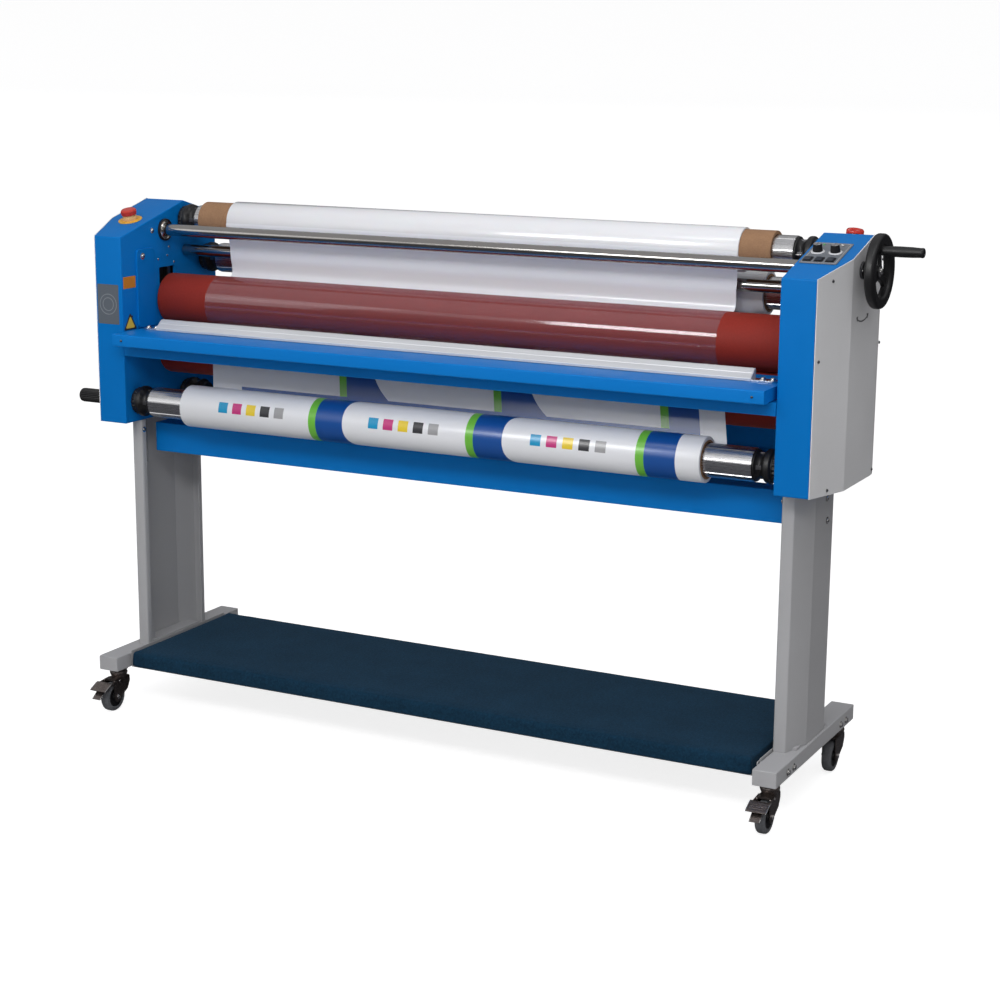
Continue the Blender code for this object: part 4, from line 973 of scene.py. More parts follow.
def cover_fittings():
    """What sits on the outer covers: the shaft collar, a turning-direction arc, the knob."""
    collar = Draft()
    collar.turn([(0.0115, 0), (0.0185, 0), (0.0190, 0.0008), (0.0190, 0.0050),
                 (0.0180, 0.0060), (0.0115, 0.0060), (0.0115, 0)], DARK_STEEL,
                along_x(LIFT_Y, LIFT_Z, OUTER_X), 48)
    for turn in (60, 180, 300):
        spot = arc((LIFT_Y, LIFT_Z), 0.0150, turn, turn, 1)[0]
        collar.screw((OUTER_X + 0.006, *spot), (1, 0, 0), 0.0022)
    middle, reach, start, end = (-0.004, 1.1854), 0.0901, 242, 298
    sweep = arc(middle, reach, start + 5, end - 5, 24)
    collar.prism(strip(sweep, -0.0030), OUTER_X - 0.0002, OUTER_X + 0.0004, ARC_INK)
    for point, base in ((start, start + 7), (end, end - 7)):
        tip = arc(middle, reach, point, point, 1)[0]
        near = arc(middle, reach + 0.0062, base, base, 1)[0]
        far = arc(middle, reach - 0.0062, base, base, 1)[0]
        collar.prism([tip, near, far], OUTER_X - 0.0002, OUTER_X + 0.0004, ARC_INK)
    collar.done("right_cover_fittings", "frame")
    knob_y, knob_z = axis_of("tension_knob")
    draft = Draft()
    matrix = along_x(knob_y, knob_z)
    draft.turn([(0, -0.892), (PIN_R, -0.892), (PIN_R, -0.953), (0.0165, -0.953)], BLACK,
               matrix, 48)
    draft.turn([(0.0165, -0.953), (0.0175, -0.957), (0.0175, -1.016), (0.0165, -1.020)], BLACK,
               matrix, 144, ribs=(24, 0.0014))
    draft.turn([(0.0165, -1.020), (0.0150, -1.0218), (0.0090, -1.0220), (0.0085, -1.0212),
                (0, -1.0212)], BLACK, matrix, 48)
    draft.done("tension_knob_shape", "tension_knob", "tension_knob", sharp=50)
# ---------------------------------------------------------------- rollers and cross shafts
SLEEVE_HALF = extent("top_roller_sleeve")[1].x
SLEEVE_R = radius_of("top_roller_sleeve")
JOURNAL_X = extent("top_roller_core")[1].x


def mirrored(half):
    """A turned profile from its right half: (radius, height), from the middle outwards."""
    return [(radius, -height) for radius, height in reversed(half)] + half


def main_roller(name, centre):
    """A silicone sleeve with eased ends over a steel core with stepped journals."""
    matrix = along_x(*centre)
    sleeve = Draft()
    ease = 0.0012
    inner = 0.0542
    half = [(SLEEVE_R, SLEEVE_HALF - ease), (SLEEVE_R - ease * 0.3, SLEEVE_HALF - ease * 0.3),
            (SLEEVE_R - ease, SLEEVE_HALF), (inner, SLEEVE_HALF)]
    sleeve.turn([*mirrored(half), (inner, -SLEEVE_HALF)], SILICONE, matrix, 160)
    sleeve.done(name + "_sleeve_shape", name, name + "_sleeve")
    core = Draft()
    dish = SLEEVE_HALF - 0.003
    half = [(0.0538, dish - 0.001), (0.0538, dish), (0.0480, dish + 0.001), (0.0465, dish - 0.003),
            (0.0220, dish - 0.003), (0.0205, dish + 0.0015), (AXLE_R, dish + 0.0015),
            (AXLE_R, JOURNAL_X - 0.001), (AXLE_R - 0.001, JOURNAL_X), (0, JOURNAL_X)]
    core.turn(mirrored(half), DARK_STEEL, matrix, 96)
    core.done(name + "_core_shape", name, name + "_core")


def gear_outline(teeth, module):
    """A spur gear's outline about its own centre."""
    points = []
    pitch_r = teeth * module / 2
    for tooth in range(teeth):
        for radius, share in ((pitch_r - 1.2 * module, -0.33), (pitch_r + 0.9 * module, -0.14),
                              (pitch_r + 0.9 * module, 0.14), (pitch_r - 1.2 * module, 0.33)):
            angle = 2 * math.pi * (tooth + share) / teeth
            points.append((radius * math.cos(angle), radius * math.sin(angle)))
    return points


def cross_bars():
    """The ground lift shaft with its pinions, and the idler bar behind it."""
    low, high = extent("lift_shaft")
    bar_r, wide = 0.0149, 0.8475
    draft = Draft()
    profile = [(0, low.x), (JOURNAL_R - 0.001, low.x), (JOURNAL_R, low.x + 0.001),
               (JOURNAL_R, -wide), (bar_r - 0.0008, -wide), (bar_r, -wide + 0.0008),
               (bar_r, wide - 0.0008), (bar_r - 0.0008, wide), (JOURNAL_R, wide),
               (JOURNAL_R, 0.898), (JOURNAL_R - 0.002, 0.900), (JOURNAL_R - 0.002, high.x),
               (0, high.x)]
    draft.turn(profile, STEEL, along_x(LIFT_Y, LIFT_Z), 72)
    outline = [(LIFT_Y + y, LIFT_Z + z) for y, z in gear_outline(16, 0.00225)]
    for side in SIDES:
        draft.prism(outline, side * 0.861, side * 0.869, DARK_STEEL)
    draft.done("lift_shaft_shape", "lift_shaft", "lift_shaft")
    end = extent("film_idler")[1].x
    idler = Draft()
    idler_r = radius_of("film_idler")
    half = [(idler_r, wide - 0.001), (idler_r - 0.001, wide), (PIN_R, wide), (PIN_R, end), (0, end)]
    idler.turn(mirrored(half), STEEL, along_x(*IDLER), 72)
    idler.done("film_idler_shape", "film_idler", "film_idler")


def handwheel():
    """A thick rounded rim with three spokes on a hub, a clamp screw and a tapered grip."""
    low, high = extent("handwheel")
    rim_r, near, far = (high.z - low.z) / 2, 0.994, high.x
    middle, half = (near + far) / 2, (far - near) / 2
    draft = Draft()
    section = rounded_box((rim_r - 0.0245, -half), (rim_r, half), 0.0070, 5)
    matrix = along_x(LIFT_Y, LIFT_Z, middle)
    draft.turn([*section, section[0]], SATIN_BLACK, matrix, 96)
    hub = [(0.0090, -0.030), (0.0172, -0.030), (0.0182, -0.029), (0.0182, -0.004),
           (0.0165, 0.0012), (0.0110, 0.0020), (0.0100, 0.0005), (0, 0.0005)]
    draft.turn(hub, SATIN_BLACK, matrix, 48)
    for index in range(3):
        turn = Matrix.Rotation(math.radians(120 * index), 4, "X")
        spoke = Matrix.Translation((middle, LIFT_Y, LIFT_Z)) @ turn
        outline = [(-0.0135, 0.012), (-0.0085, 0.040), (-0.0115, 0.064), (0.0115, 0.064),
                   (0.0085, 0.040), (0.0135, 0.012)]
        draft.prism(outline, -0.0095, -0.0005, SATIN_BLACK, matrix=spoke)
    grip_y, grip_z = axis_of("handwheel_grip")
    draft.turn([(0, -half), (0.0095, -half), (0.0095, half + 0.0002), (0, half + 0.0002)],
               SATIN_BLACK, along_x(grip_y, grip_z, middle), 32)
    draft.done("handwheel_shape", "lift_shaft", "handwheel", bevel=0.0012)
    bits = Draft()
    bits.screw((middle + 0.0004, LIFT_Y, LIFT_Z), (1, 0, 0), 0.0075, washer=True)
    bits.screw((middle - 0.020, LIFT_Y - 0.0175, LIFT_Z), (0, -1, 0), 0.0030)
    bits.screw((near, grip_y, grip_z), (-1, 0, 0), 0.0055, washer=True)
    bits.done("handwheel_screws", "lift_shaft")
    start, end = far + 0.0004, extent("handwheel_grip")[1].x
    grip = Draft()
    profile = [(0, start), (0.0088, start), (0.0096, start + 0.001), (0.0098, start + 0.006),
               (0.0112, start + 0.022), (0.0115, start + 0.040), (0.0112, end - 0.026),
               (0.0103, end - 0.008), (0.0108, end - 0.004), (0.0100, end - 0.0012),
               (0.0080, end), (0.0055, end - 0.0004), (0.0050, end - 0.0015), (0, end - 0.0015)]
    grip.turn(profile, SATIN_BLACK, along_x(grip_y, grip_z), 64)
    grip.done("handwheel_grip_shape", "handwheel_grip", "handwheel_grip", sharp=50)


# ---------------------------------------------------------------- rolls on their shafts
SHAFT_R, SHAFT_HALF = 0.0374, 0.793
CHUCK_WALL_X, CHUCK_STUB_X, CHUCK_TIP_X = 0.8476, 0.876, 0.782


def shaft_section(radius, facets=8):
    """Broad flats with a fine groove between them: an extruded key shaft's outline."""
    points = []
    for index in range(facets):
        middle = 360 * index / facets + 12
        half = 180 / facets
        flat = radius * math.cos(math.radians(half)) / math.cos(math.radians(half - 3))
        for turn, reach in ((-half + 1.2, radius - 0.0016), (-half + 3, radius - 0.0001),
                            (-half * 0.35, flat), (half * 0.35, flat),
                            (half - 3, radius - 0.0001), (half - 1.2, radius - 0.0016)):
            points += arc((0, 0), reach, middle + turn, middle + turn, 1)[:1]
    return points


def roll_shaft(name, centre, body, half_length):
    """An extruded hollow shaft, cut square at both ends."""
    draft = Draft()
    outline = shaft_section(SHAFT_R)
    inner = [tuple(Vector(point) * 0.905) for point in outline]
    y0, z0 = centre
    rows = []
    for side in SIDES:
        end = side * half_length
        outer = [(end, y0 + y, z0 + z) for y, z in outline]
        bore = [(end, y0 + y, z0 + z) for y, z in inner]
        rows += [bore, outer] if side == LEFT else [outer, bore]
    draft.grid([*rows, rows[0]], ALUMINIUM, ring=True)
    return draft.done(name + "_profile", body, name, sharp=9)


def chuck(name, side, centre, body, replaced=True, cut_out=False):
    """A black roll chuck: ribbed ring at the wall, waisted body, keys and a nose flange."""
    draft = Draft()
    matrix = along_x(*centre)
    if side == LEFT:
        matrix = matrix @ Matrix.Rotation(math.pi, 4, "X")
    wall, tip = CHUCK_WALL_X, CHUCK_TIP_X
    draft.turn([(0, CHUCK_STUB_X), (STUB_R, CHUCK_STUB_X), (STUB_R, wall), (0.0290, wall),
                (0.0318, wall - 0.0006)], BLACK, matrix, 48)
    draft.turn([(0.0318, wall - 0.0006), (0.0338, wall - 0.0018), (0.0338, 0.8392),
                (0.0325, 0.8375)], BLACK, matrix, 160, ribs=(20, 0.0022))
    draft.turn([(0.0325, 0.8380), (0.0320, 0.8370), (0.0322, 0.8350), (0.0362, 0.8332),
                (0.0378, 0.8310), (0.0380, 0.8242), (0.0370, 0.8205)], BLACK, matrix, 64)
    draft.turn([(0.0370, 0.8205), (0.0350, 0.8175), (0.0300, 0.8140)], BLACK, matrix, 144,
               ribs=(12, 0.0016))
    draft.turn([(0.0302, 0.8143), (0.0270, 0.8110), (0.0262, 0.8075), (0.0274, 0.8035),
                (0.0310, 0.7998), (0.0352, 0.7982), (0.0360, 0.7970), (0.0356, 0.7942),
                (0.0290, 0.7935), (0.0288, tip + 0.002), (0.0270, tip), (0, tip)], BLACK,
               matrix, 96)
    for index in range(4):
        turn = matrix @ Matrix.Rotation(math.radians(90 * index), 4, "Z")
        draft.box((-0.0045, 0.0230, 0.7990), (0.0045, 0.0292, 0.8190), DARK_STEEL, turn)
    if cut_out:
        turn = matrix @ Matrix.Rotation(math.radians(184), 4, "Z")
        draft.box((-0.0016, 0.0260, 0.7985), (0.0016, 0.0312, 0.8110), BRIGHT, turn)
    return draft.done(name + "_shape", body, *([name] if replaced else []), bevel=0.0006,
                      segments=2)


def wound_roll(name, body, node, material, bore_r, board=False):
    """A wound roll: smooth skin with eased edges, layered ends and, if asked, its own core."""
    low, high = extent(node)
    centre, radius = axis_of(node), radius_of(node)
    matrix = along_x(*centre)
    draft = Draft()
    ease = 0.0010
    girth = -2 * math.pi * radius
    draft.turn([(radius - ease, low.x), (radius - ease * 0.3, low.x + ease * 0.3),
                (radius, low.x + ease), (radius, high.x - ease),
                (radius - ease * 0.3, high.x - ease * 0.3), (radius - ease, high.x)],
               material, matrix, 160, girth=girth)
    for end, inward in ((low.x, 1), (high.x, -1)):
        draft.turn([(radius - ease, end), (bore_r + 0.0045 if board else bore_r, end)],
                   WOUND_EDGE, matrix, 160)
        if board:
            draft.turn([(bore_r + 0.0045, end - inward * 0.0012), (bore_r, end - inward * 0.0012),
                        (bore_r, end + inward * 0.05)], BOARD, matrix, 96)
    draft.done(name, body, node)


def supply_core():
    low, high = extent("supply_core")
    outer, bore, ease = radius_of("supply_core"), 0.0385, 0.0006
    draft = Draft()
    profile = [(bore, high.x), (bore, low.x), (outer - ease, low.x), (outer, low.x + ease),
               (outer, high.x - ease), (outer - ease, high.x), (bore, high.x)]
    draft.turn(profile, BOARD, along_x(*SUPPLY), 128)
    draft.done("supply_core_board", "supply_roll", "supply_core")


def rolls():
    roll_shaft("supply_shaft", SUPPLY, "supply_roll", SHAFT_HALF)
    roll_shaft("media_shaft", MEDIA, "media_roll", SHAFT_HALF)
    rewind = roll_shaft("rewind_shaft", REWIND, "rewind_roll", SHAFT_HALF)
    for side in SIDES:
        name = side_name(side)
        chuck("supply_chuck_" + name, side, SUPPLY, "supply_roll", cut_out=side == RIGHT)
        chuck("media_chuck_" + name, side, MEDIA, "media_roll")
        chuck("takeup_chuck_" + name, side, TAKEUP, "takeup_chuck_" + name)
        chuck("rewind_chuck_" + name, side, REWIND, "rewind_roll", replaced=False)
    supply_core()
    wound_roll("film_roll_wound", "supply_roll", "film_roll", FILM, 0.0463)
    wound_roll("liner_roll_wound", "rewind_roll", "liner_roll", FILM, 0.0390, board=True)
    wound_roll("media_roll_wound", "media_roll", "media_roll", PRINT_ROLL, 0.0390, board=True)
    return rewind


# ---------------------------------------------------------------- webs
def smooth_path(points, spacing=0.004):
    """A Catmull-Rom curve through (y, z) points, resampled evenly."""
    nodes = [Vector(point) for point in points]
    nodes = [nodes[0] * 2 - nodes[1], *nodes, nodes[-1] * 2 - nodes[-2]]
    dense = []
    for a, b, c, d in zip(nodes, nodes[1:], nodes[2:], nodes[3:]):
        count = max(2, round((c - b).length / spacing))
        for step in range(count):
            t = step / count
            dense.append(0.5 * (2 * b + (c - a) * t + (2 * a - 5 * b + 4 * c - d) * t * t
                                + (3 * b - a - 3 * c + d) * t ** 3))
    dense.append(nodes[-2])
    return [tuple(point) for point in dense]


def web(name, body, path, left, right, material, thick=0.0003, across=24, start_along=0.0):
    """A thin web that follows a (y, z) path; left and right give its edges at both ends."""
    back = shifted(path, thick)
    lengths = [0.0]
    for first, second in zip(path, path[1:]):
        lengths.append(lengths[-1] + (Vector(second) - Vector(first)).length)
    total = lengths[-1]
    rows = []
    for (y, z), (back_y, back_z), reach in zip(path, back, lengths):
        share = reach / total
        low = left[0] + (left[1] - left[0]) * share
        high = right[0] + (right[1] - right[0]) * share
        xs = [low + (high - low) * k / across for k in range(across + 1)]
        rows.append([(x, y, z) for x in xs] + [(x, back_y, back_z) for x in reversed(xs)])

    def place(i, j):
        column = min(j, 2 * across + 1 - j) if j <= 2 * across + 1 else 0
        return -0.6858 + 1.3716 * column / across, start_along + lengths[i]
    draft = Draft()
    draft.grid(rows, material, ring=True, uvs=place)
    for row in (rows[0], rows[-1]):
        draft.grid([row[:across + 1], row[:across:-1]], material)
    return draft.done(name, body, sharp=60)


BEND = (0.0338, 1.1366)      # where the hanging film starts to curve forward
FOLD = (0.0300, 1.0880)      # where the liner leaves the film
LINER_END = (0.1371, 1.0738)
ROLLER_TOUCH = 75.4          # where the film meets the top roller, degrees from +y
SKIN = 0.0004


def film_webs():
    """The film hangs from the supply roll to its fold; there the liner leaves it backwards.

    The hanging part stays with the frame and the fold rides on the lift carriage; the two pieces
    between them are attached to neither.
    """
    supply_y, supply_z = SUPPLY
    hang = smooth_path([(supply_y - 0.0503, supply_z), (supply_y - 0.0502, supply_z - 0.010),
                        (0.0212, 1.196), (0.0300, 1.1700), BEND, (0.0375, 1.1225),
                        (0.0402, 1.1100), (0.0398, 1.1010), (0.0365, 1.0935), FOLD])
    split = next(i for i, (y, z) in enumerate(hang) if z < BEND[1] + 0.0005)
    web("film_web", "frame", hang[:split + 1], (-0.6858, -0.687), (0.672, 0.664), LIGHTENED_WEB_FILM)
    bent = web("film_web_bend", None, hang[split:], (-0.687, -0.688), (0.664, 0.660), LIGHTENED_WEB_FILM)
    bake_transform(bent)
    liner = smooth_path([(FOLD[0] + 0.0006, FOLD[1] - 0.0006), (0.0420, 1.0856),
                         (0.0640, 1.0826), (0.100, 1.0782), LINER_END])
    slack = web("liner_web", None, liner, (-0.688, -0.694), (0.660, 0.680), LIGHTENED_WEB_FILM)
    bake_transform(slack)
    roller_y, roller_z = TOP_ROLLER
    reach = SLEEVE_R + SKIN
    lead = [(FOLD[0] - 0.0006, FOLD[1] - 0.0006)]
    wrap = arc((roller_y, roller_z), reach, ROLLER_TOUCH, 268, 96)
    web("clear_film_wrap", "lift_carriage", lead + wrap, (-0.694, -0.707), (0.659, 0.655),
        CLEAR_FILM, thick=-0.0002)


def media_web():
    """The printed web rises from its roll, round the bottom roller's front, to the nip."""
    media_r = radius_of("media_roll") + 0.0002
    start = arc(MEDIA, media_r, -15.2, -15.2, 1)[0]
    reach = SLEEVE_R + SKIN
    wrap = arc(BOTTOM_ROLLER, reach, 164.8, 91, 40)
    rise = [tuple(Vector(start).lerp(Vector(wrap[0]), k / 20)) for k in range(20)]
    tail = smooth_path([(0.004, BOTTOM_ROLLER[1] + SLEEVE_R + 0.0001), (0.030, 0.9666),
                        (0.060, 0.9620), (0.085, 0.9500), (0.096, 0.9330)])
    web("media_web", "frame", rise + wrap + tail, (-0.655, -0.715), (0.709, 0.640),
        PRINT_ROLL, thick=-0.0002, start_along=0.0648)


# ---------------------------------------------------------------- table and guide bar
def feed_table():
    """The folded blue infeed table with closed ends and two screws in its front."""
    low, high = extent("feed_table")
    front, nose, top, base, half = low.y, high.y, high.z, low.z, high.x
    thick = 0.002
    path = fillet([(nose, top - 0.010), (nose, top), (front, top), (front, base),
                   (front + 0.030, base)], 0.0032, closed=False, steps=5)
    draft = Draft()
    draft.prism(strip(path, thick), -half, half, BLUE)
    for side in SIDES:
        end = [(front + 0.001, base + 0.0015), (-0.090, base + 0.0015), (-0.068, 0.9500),
               (nose, top - 0.0100), (nose, top - 0.0005), (front + 0.001, top - 0.0005)]
        draft.prism(end, side * (half - thick), side * (half - 0.0001), BLUE)
    draft.done("infeed_table", "frame", "feed_table", sharp=40)
    screws = Draft()
    for x in (-0.815, 0.815):
        screws.screw((x, front, (top + base) / 2), (0, -1, 0), 0.0030, DARK_STEEL)
    screws.done("infeed_table_screws", "frame")


def guide_bar():
    """The grooved aluminium guide bar, its bright end tabs, and two screws in each."""
    low, high = extent("guide_bar")
    front, back, top = low.y, high.y, high.z
    base = low.z + 0.0010
    path = [(back, base), (back, top), (back - 0.0035, top), (back - 0.0040, top - 0.0007),
            (back - 0.0045, top), (front + 0.0230, top), (front + 0.0130, 0.9852),
            (front + 0.0124, 0.9838), (front + 0.0116, 0.9841), (front + 0.0006, 0.9752),
            (front, 0.9740), (front, 0.9722), (front + 0.0007, 0.9717), (front, 0.9712),
            (front, base)]
    bar = Draft()
    ends = (-0.785, 0.773)
    bar.prism(path, *ends, GUIDE_METAL)
    for x in ends:
        outline = [(front + 0.0015, base + 0.001), (back - 0.0015, base + 0.001),
                   (back - 0.0015, top - 0.0012), (front + 0.0225, top - 0.0012),
                   (front + 0.0015, 0.9740)]
        cap = 0.0012 if x > 0 else -0.0012
        bar.prism(outline, x, x + cap, GUIDE_METAL)
    bar.done("guide_bar_profile", "frame", "guide_bar", sharp=14)
    tabs = Draft()
    middle = (front + back) / 2
    for side in SIDES:
        nose = [(side * x, y) for x, y in arc((0.816, middle), 0.0145, 90, -90, 16)]
        outline = [(side * 0.760, middle - 0.0145), (side * 0.760, middle + 0.0145)]
        tabs.prism(outline + nose, low.z, low.z + 0.0042, TAB_METAL, "Z")
        for x in (0.796, 0.8190):
            tabs.screw((side * x, middle, low.z + 0.0042), (0, 0, 1), 0.0054, washer=True)
    tabs.done("guide_bar_tabs", "frame", bevel=0.0010)


# ---------------------------------------------------------------- stand
def column(side):
    """A folded channel column, open inwards, with its bolts and a gusset at the bottom."""
    name = side_name(side) + "_column"
    low, high = extent(name)
    path = [(0.849, -0.122), (0.849, -0.138), (0.878, -0.138), (0.9006, -0.062),
            (0.9006, 0.060), (0.878, 0.114), (0.849, 0.114), (0.849, 0.098)]
    path = fillet(path, 0.0045, closed=False, steps=4)
    outline = [(side * x, y) for x, y in strip(path, 0.003)]
    draft = Draft()
    draft.prism(outline, low.z, high.z, PALE_GREY, "Z")
    base = rounded_box((side * 0.8535, -0.110), (side * 0.8960, 0.092), 0.006)
    draft.prism(base, low.z, low.z + 0.006, PALE_GREY, "Z")
    gusset = [(-0.116, low.z + 0.004), (-0.116, low.z + 0.120), (-0.090, low.z + 0.004)]
    draft.prism(gusset, side * 0.8600, side * 0.8630, PALE_GREY)
    draft.done(name + "_sheet", "frame", name, sharp=40)
    bolts = Draft()
    for y, z in ((0.019, 0.643), (0.012, 0.695)):
        bolts.screw((side * 0.9006, y, z), (side, 0, 0), 0.0050, washer=True)
    bolts.screw((side * 0.849, -0.130, 0.710), (-side, 0, 0), 0.0045, washer=True)
    bolts.done(name + "_bolts", "frame")


def foot(side):
    """A closed tube foot with rounded edges, plastic end plugs, bolts and nuts."""
    name = side_name(side) + "_foot"
    low, high = extent(name)
    draft = Draft()
    outline = rounded_box((low.x, low.z), (high.x, high.z), 0.0026, 5)
    draft.prism(outline, low.y + 0.003, high.y - 0.003, FOOT_GREY, "Y")
    draft.done(name + "_tube", "frame", name, bevel=0.0006)
    plug = Draft()
    inset = rounded_box((low.x + 0.0006, low.z + 0.0006), (high.x - 0.0006, high.z - 0.0006),
                        0.0022, 5)
    for start, end in ((low.y, low.y + 0.0036), (high.y - 0.0036, high.y)):
        plug.prism(inset, start, end, FOOT_GREY, "Y")
    plug.done(name + "_plugs", "frame", bevel=0.0010)
    bolts = Draft()
    outer = high.x if side == RIGHT else low.x
    for y in (-0.196, -0.158, 0.168, 0.206):
        bolts.hex_bolt((outer, y, 0.1245), (side, 0, 0), 0.0060)
        bolts.hex_bolt((side * 0.890, y, low.z), (0, 0, -1), 0.0050)
    bolts.done(name + "_bolts", "frame")


CASTER_X, CASTER_Y = 0.878, (-0.228, 0.218)
TRAIL, WHEEL_R = 0.027, radius_of("left_front_caster_wheel")
CROWN_Z = 0.080


def caster_fork(name, x, y):
    """A pressed fork: two bearing plates with studs, a crown, shaped legs and a rear shield."""
    draft = Draft()
    stand = Matrix.Translation((x, y, 0))
    draft.turn([(0, 0.1078), (0.0235, 0.1078), (0.0245, 0.1066), (0.0240, 0.1046),
                (0.0200, 0.1034), (0.0185, 0.1010), (0.0215, 0.0985), (0.0225, 0.0950),
                (0.0210, 0.0900), (0.0190, 0.0860), (0.0170, CROWN_Z), (0, CROWN_Z)],
               GUNMETAL, stand, 48)
    draft.turn([(0, 0.133), (0.0055, 0.133), (0.0060, 0.132), (0.0060, 0.106), (0, 0.106)],
               BRIGHT, stand, 20)
    wheel = (y - TRAIL, WHEEL_R)
    crown = [(y + 0.0220, CROWN_Z + 0.0045), (y - 0.040, CROWN_Z + 0.0030)]
    leg = crown + arc(wheel, 0.0130, 178, 345, 12) + [(y + 0.0135, 0.0500), (y + 0.0230, 0.0690)]
    for side in SIDES:
        draft.prism(fillet(leg, 0.004, steps=3), x + side * 0.0146, x + side * 0.0170, GUNMETAL)
        draft.turn([(0, 0.0165), (0.0062, 0.0165), (0.0062, 0.0195), (0.0050, 0.0206),
                    (0, 0.0206)], BRIGHT,
                   along_x(*wheel, x) @ Matrix.Rotation(0 if side == RIGHT else math.pi, 4, "X"), 6)
    draft.turn([(0, -0.018), (0.0040, -0.018), (0.0040, 0.018), (0, 0.018)], BRIGHT,
               along_x(*wheel, x), 20)
    roof = [(x - 0.0170, CROWN_Z + 0.0005), (x + 0.0170, CROWN_Z + 0.0045)]
    draft.prism(rounded_box(*roof, 0.0015, 2), y - 0.038, y + 0.021, GUNMETAL, "Y")
    shield = fillet([(y + 0.0225, 0.0830), (y + 0.0228, 0.0690), (y + 0.0132, 0.0500)], 0.012,
                    closed=False)
    draft.prism(strip(shield, -0.0018), x - 0.0150, x + 0.0150, GUNMETAL)
    for turn in (35, 145, 215, 325):
        stud = arc((x, y), 0.0200, turn, turn, 1)[0]
        draft.screw((*stud, 0.1046), (0, 0, -1), 0.0022)
    draft.done(name + "_pressing", name, name, sharp=38)


def caster_wheel(name, x, y):
    """A grey tread on a black hub with a raised ring and a bright bearing."""
    matrix = along_x(y - TRAIL, WHEEL_R, x)
    tread = Draft()
    half = [(WHEEL_R, 0.0040), (WHEEL_R - 0.0006, 0.0078), (WHEEL_R - 0.0028, 0.0104),
            (WHEEL_R - 0.0070, 0.0112), (0.0265, 0.0112), (0.0255, 0.0100)]
    tread.turn(mirrored(half), TREAD, matrix, 96)
    half = [(0.0257, 0.0098), (0.0250, 0.0108), (0.0235, 0.0108), (0.0225, 0.0085),
            (0.0120, 0.0080), (0.0105, 0.0120), (0.0062, 0.0122), (0.0043, 0.0115)]
    tread.turn([*mirrored(half), (0.0043, -0.0115)], BLACK, matrix, 72)
    tread.done(name + "_tyre", name, name, sharp=45)


def brake_pedal(name, x, y):
    """A bent foot pedal on its pin, with bright edges and a small release tab."""
    draft = Draft()
    pivot_y, pivot_z = y - 0.021, 0.0785
    draft.turn([(0, -0.0205), (0.0030, -0.0205), (0.0034, -0.0196), (0.0022, -0.0190),
                (0.0022, 0.0190), (0.0034, 0.0196), (0.0030, 0.0205), (0, 0.0205)], BRIGHT,
               along_x(pivot_y, pivot_z, x), 20)
    ear = [(y - 0.0140, 0.0740), (y - 0.0140, 0.0840), (y - 0.0580, 0.0800), (y - 0.0580, 0.0715)]
    for side in SIDES:
        draft.prism(fillet(ear, 0.003, steps=3), x + side * 0.0177, x + side * 0.0196, GUNMETAL)
    top = fillet([(y - 0.0545, 0.0809), (y - 0.0620, 0.0800), (y - 0.0830, 0.0700),
                  (y - 0.0875, 0.0672)], 0.004, closed=False)
    sheet = strip(top, 0.0022)
    draft.prism(sheet, x - 0.0236, x + 0.0236, GUNMETAL)
    for side in SIDES:
        draft.prism(strip(shifted(top, -0.0005), 0.0034), x + side * 0.0225, x + side * 0.0240,
                    BRIGHT)
    for rib in range(3):
        spot = y - 0.0680 - 0.0050 * rib
        height = 0.0797 - (y - 0.0620 - spot) * 0.476
        draft.box((x - 0.0170, spot - 0.0008, height - 0.0010),
                  (x + 0.0170, spot + 0.0008, height + 0.0006), GUNMETAL)
    tab = fillet([(y - 0.0615, 0.0705), (y - 0.0720, 0.0640), (y - 0.0950, 0.0475)], 0.006,
                 closed=False)
    draft.prism(strip(tab, 0.0020), x - 0.0120, x + 0.0120, GUNMETAL)
    for side in SIDES:
        draft.prism(strip(shifted(tab, -0.0003), 0.0026), x + side * 0.0112, x + side * 0.0124,
                    BRIGHT)
    draft.done(name + "_plate", name, name, bevel=0.0004, segments=2)


def casters():
    for side in SIDES:
        for end, y in zip(("front", "rear"), CASTER_Y):
            name = side_name(side) + "_" + end
            x = side * CASTER_X
            caster_fork(name + "_caster_fork", x, y)
            caster_wheel(name + "_caster_wheel", x, y)
            if end == "front":
                brake_pedal(name + "_brake_pedal", x, y)


# ---------------------------------------------------------------- shelf cover
def shelf_cover():
    """The padded cloth cover: inflated by a short cloth simulation."""
    low, high = extent("shelf_pad")
    draft = Draft()
    low, high = low - Vector((0.0085, 0, 0)), high + Vector((0.002, 0, 0))
    section = rounded_box((low.y + 0.001, low.z), (high.y - 0.001, high.z - 0.001), 0.004, 4)
    draft.prism(section, low.x + 0.001, high.x - 0.001, CLOTH)
    cover = draft.done("shelf_cover", None)
    cover.location = (0, 0, 0)
    shape = cover.modifiers.new("shape", "REMESH")
    shape.mode = "VOXEL"
    shape.voxel_size = 0.0055
    apply_modifiers(cover)
    rest = [vertex.co.copy() for vertex in cover.data.vertices]
    inflate(cover, low, high)
    for vertex, home in zip(cover.data.vertices, rest):
        vertex.co = settle(vertex.co, home, low, high)
    for polygon in cover.data.polygons:
        polygon.use_smooth = True
    smooth = cover.modifiers.new("smooth", "SUBSURF")
    smooth.levels = smooth.render_levels = 1
    cover.location = HOME
    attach(cover, "frame")
    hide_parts("shelf_pad")


def apply_modifiers(item):
    """Bake an object's modifiers into its mesh."""
    bpy.context.view_layer.update()
    graph = bpy.context.evaluated_depsgraph_get()
    baked = bpy.data.meshes.new_from_object(item.evaluated_get(graph))
    item.modifiers.clear()
    item.data = baked


